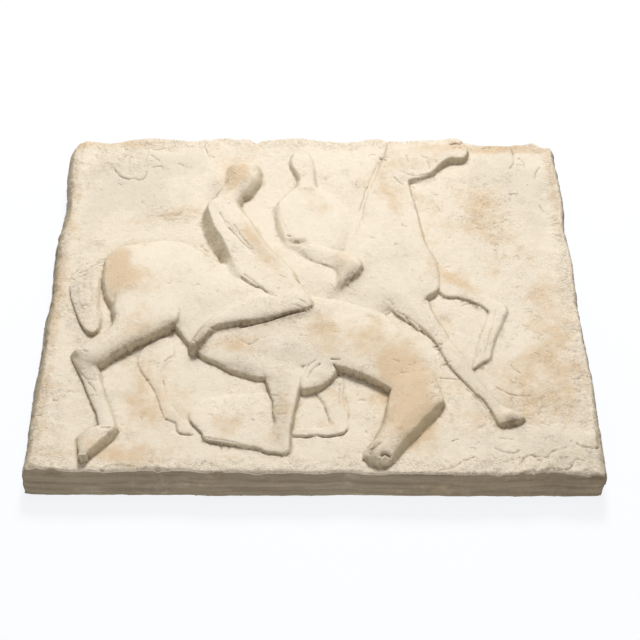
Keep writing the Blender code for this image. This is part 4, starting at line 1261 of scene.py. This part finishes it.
class RELIEF_OT_carve(bpy.types.Operator):
    """Carve the slab's face, cast it in stone and weather it"""

    bl_idname = "relief.carve"
    bl_label = "Carve the relief"

    def execute(self, context):
        sizes, colours = context.scene.relief_sizes, context.scene.relief_colours
        groups = {"sand": sand_group(), "crackle": crackle_group(), "stain": stain_group()}
        stain_and_shade_colours = tuple(colours.warm), tuple(colours.ash), tuple(colours.shade_and_dirt)
        face_stone = stone_material(
            "cast stone face", groups, tuple(colours.stone), *stain_and_shade_colours, contrast=0.13, streaks=0.0)
        # The sides are a darker copy of the stone: painted shade
        shaded_side_stone = stone_material(
            "cast stone side in painted shade", groups, tuple(colours.side), *stain_and_shade_colours, contrast=0.2, streaks=1.2)
        slab = placed(context, "slab", slab_mesh(sizes))
        skin = slab.modifiers.new("cast skin", "NODES")
        skin.node_group = skin_tree()
        set_inputs(
            skin, Holes_per_Area=sizes.holes_per_area, Hole_Radius=sizes.hole_radius,
            Hole_Depth=sizes.hole_depth, Grit_per_Area=sizes.grit_per_area, Grit_Height=sizes.grit_height,
            Seed=3, Face_Stone=face_stone, Side_Stone=shaded_side_stone)
        thin = slab.modifiers.new("thin", "DECIMATE")
        slab.data.calc_loop_triangles()
        thin.ratio = sizes.triangles / len(slab.data.loop_triangles)
        mesh = bpy.data.meshes.new_from_object(slab.evaluated_get(context.evaluated_depsgraph_get()))
        bpy.data.objects.remove(slab, do_unlink=True)
        mesh.name = "relief"
        mesh.shade_smooth()
        relief = placed(context, "relief", mesh)
        if len(mesh.polygons) < 1000:
            raise RuntimeError("the relief has lost its mesh")
        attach(relief, "root")
        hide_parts("cast_relief")
        return {"FINISHED"}


class RELIEF_OT_stage(bpy.types.Operator):
    """Set a pale floor, soft studio light and the camera"""

    bl_idname = "relief.stage"
    bl_label = "Set the stage"

    def execute(self, context):
        look, colours = context.scene.relief_stage, context.scene.relief_colours
        floor_mesh = bpy.data.meshes.new("floor")
        reach = FLOOR_REACH
        corners = [(-reach, -reach, 0), (reach, -reach, 0), (reach, reach, 0), (-reach, reach, 0)]
        floor_mesh.from_pydata(corners, [], [(0, 1, 2, 3)])
        floor = placed(context, "floor", floor_mesh)
        paper = bpy.data.materials.new("white paper")
        paper.use_nodes = True
        shader = paper.node_tree.nodes["Principled BSDF"].inputs
        shader["Base Color"].default_value = tuple(colours.floor)
        shader["Roughness"].default_value = 0.9
        shader["Emission Color"].default_value = PAPER_GLOW
        shader["Emission Strength"].default_value = look.glow
        floor_mesh.materials.append(paper)

        world = bpy.data.worlds.new("studio")
        world.use_nodes = True
        sky = world.node_tree.nodes["Background"].inputs
        sky["Color"].default_value = SKY_COLOUR
        sky["Strength"].default_value = look.sky
        context.scene.world = world
        self.light(context, "key", (0.08, 1.3, 1.75), 0.55, look.key_power)
        self.light(context, "top", (0.0, 0.7, 1.9), 1.2, look.top_power)
        self.light(context, "fill", (0.0, -1.5, 0.75), 1.0, look.fill_power, FILL_COLOUR)

        camera = bpy.data.cameras.new("camera")
        camera.sensor_width = 36
        camera.lens = look.lens / MM
        eye = placed(context, "camera", camera)
        eye.location = EYE
        level = math.cos(SIGHT_DOWN)
        sight = Vector(
            (math.sin(SIGHT_ACROSS) * level, math.cos(SIGHT_ACROSS) * level, -math.sin(SIGHT_DOWN)))
        eye.rotation_euler = sight.to_track_quat("-Z", "Y").to_euler()
        context.scene.camera = eye
        context.scene.view_settings.view_transform = "Standard"
        return {"FINISHED"}

    def light(self, context, name, place, size, power, colour=(1.0, 1.0, 1.0)):
        """A square light that faces the slab."""
        lamp = bpy.data.lights.new(name, "AREA")
        lamp.energy, lamp.size, lamp.color = power, size, colour
        lamp_object = placed(context, name, lamp)
        lamp_object.location = place
        lamp_object.rotation_euler = (-Vector(place)).to_track_quat("-Z", "Y").to_euler()


class RELIEF_PT_panel(bpy.types.Panel):
    """Everything that makes the relief, in order"""

    bl_idname = "RELIEF_PT_panel"
    bl_label = "Cast stone relief"
    bl_space_type = "VIEW_3D"
    bl_region_type = "UI"
    bl_category = "Relief"

    def draw(self, context):
        for title, group, operator in (
            ("Relief", context.scene.relief_sizes, RELIEF_OT_carve),
            ("Colours", context.scene.relief_colours, None),
            ("Stage", context.scene.relief_stage, RELIEF_OT_stage),
        ):
            box = self.layout.box()
            box.label(text=title)
            for name in group.__annotations__:
                box.prop(group, name)
            if operator:
                box.operator(operator.bl_idname)


CLASSES = (ReliefSizes, ReliefColours, StageLook, RELIEF_OT_carve, RELIEF_OT_stage, RELIEF_PT_panel)


def register():
    for cls in CLASSES:
        bpy.utils.register_class(cls)
    bpy.types.Scene.relief_sizes = PointerProperty(type=ReliefSizes)
    bpy.types.Scene.relief_colours = PointerProperty(type=ReliefColours)
    bpy.types.Scene.relief_stage = PointerProperty(type=StageLook)


def unregister():
    del bpy.types.Scene.relief_stage
    del bpy.types.Scene.relief_colours
    del bpy.types.Scene.relief_sizes
    for cls in reversed(CLASSES):
        bpy.utils.unregister_class(cls)


def main():
    register()
    bpy.ops.relief.carve()
    bpy.ops.relief.stage()


if __name__ == "__main__":
    main()
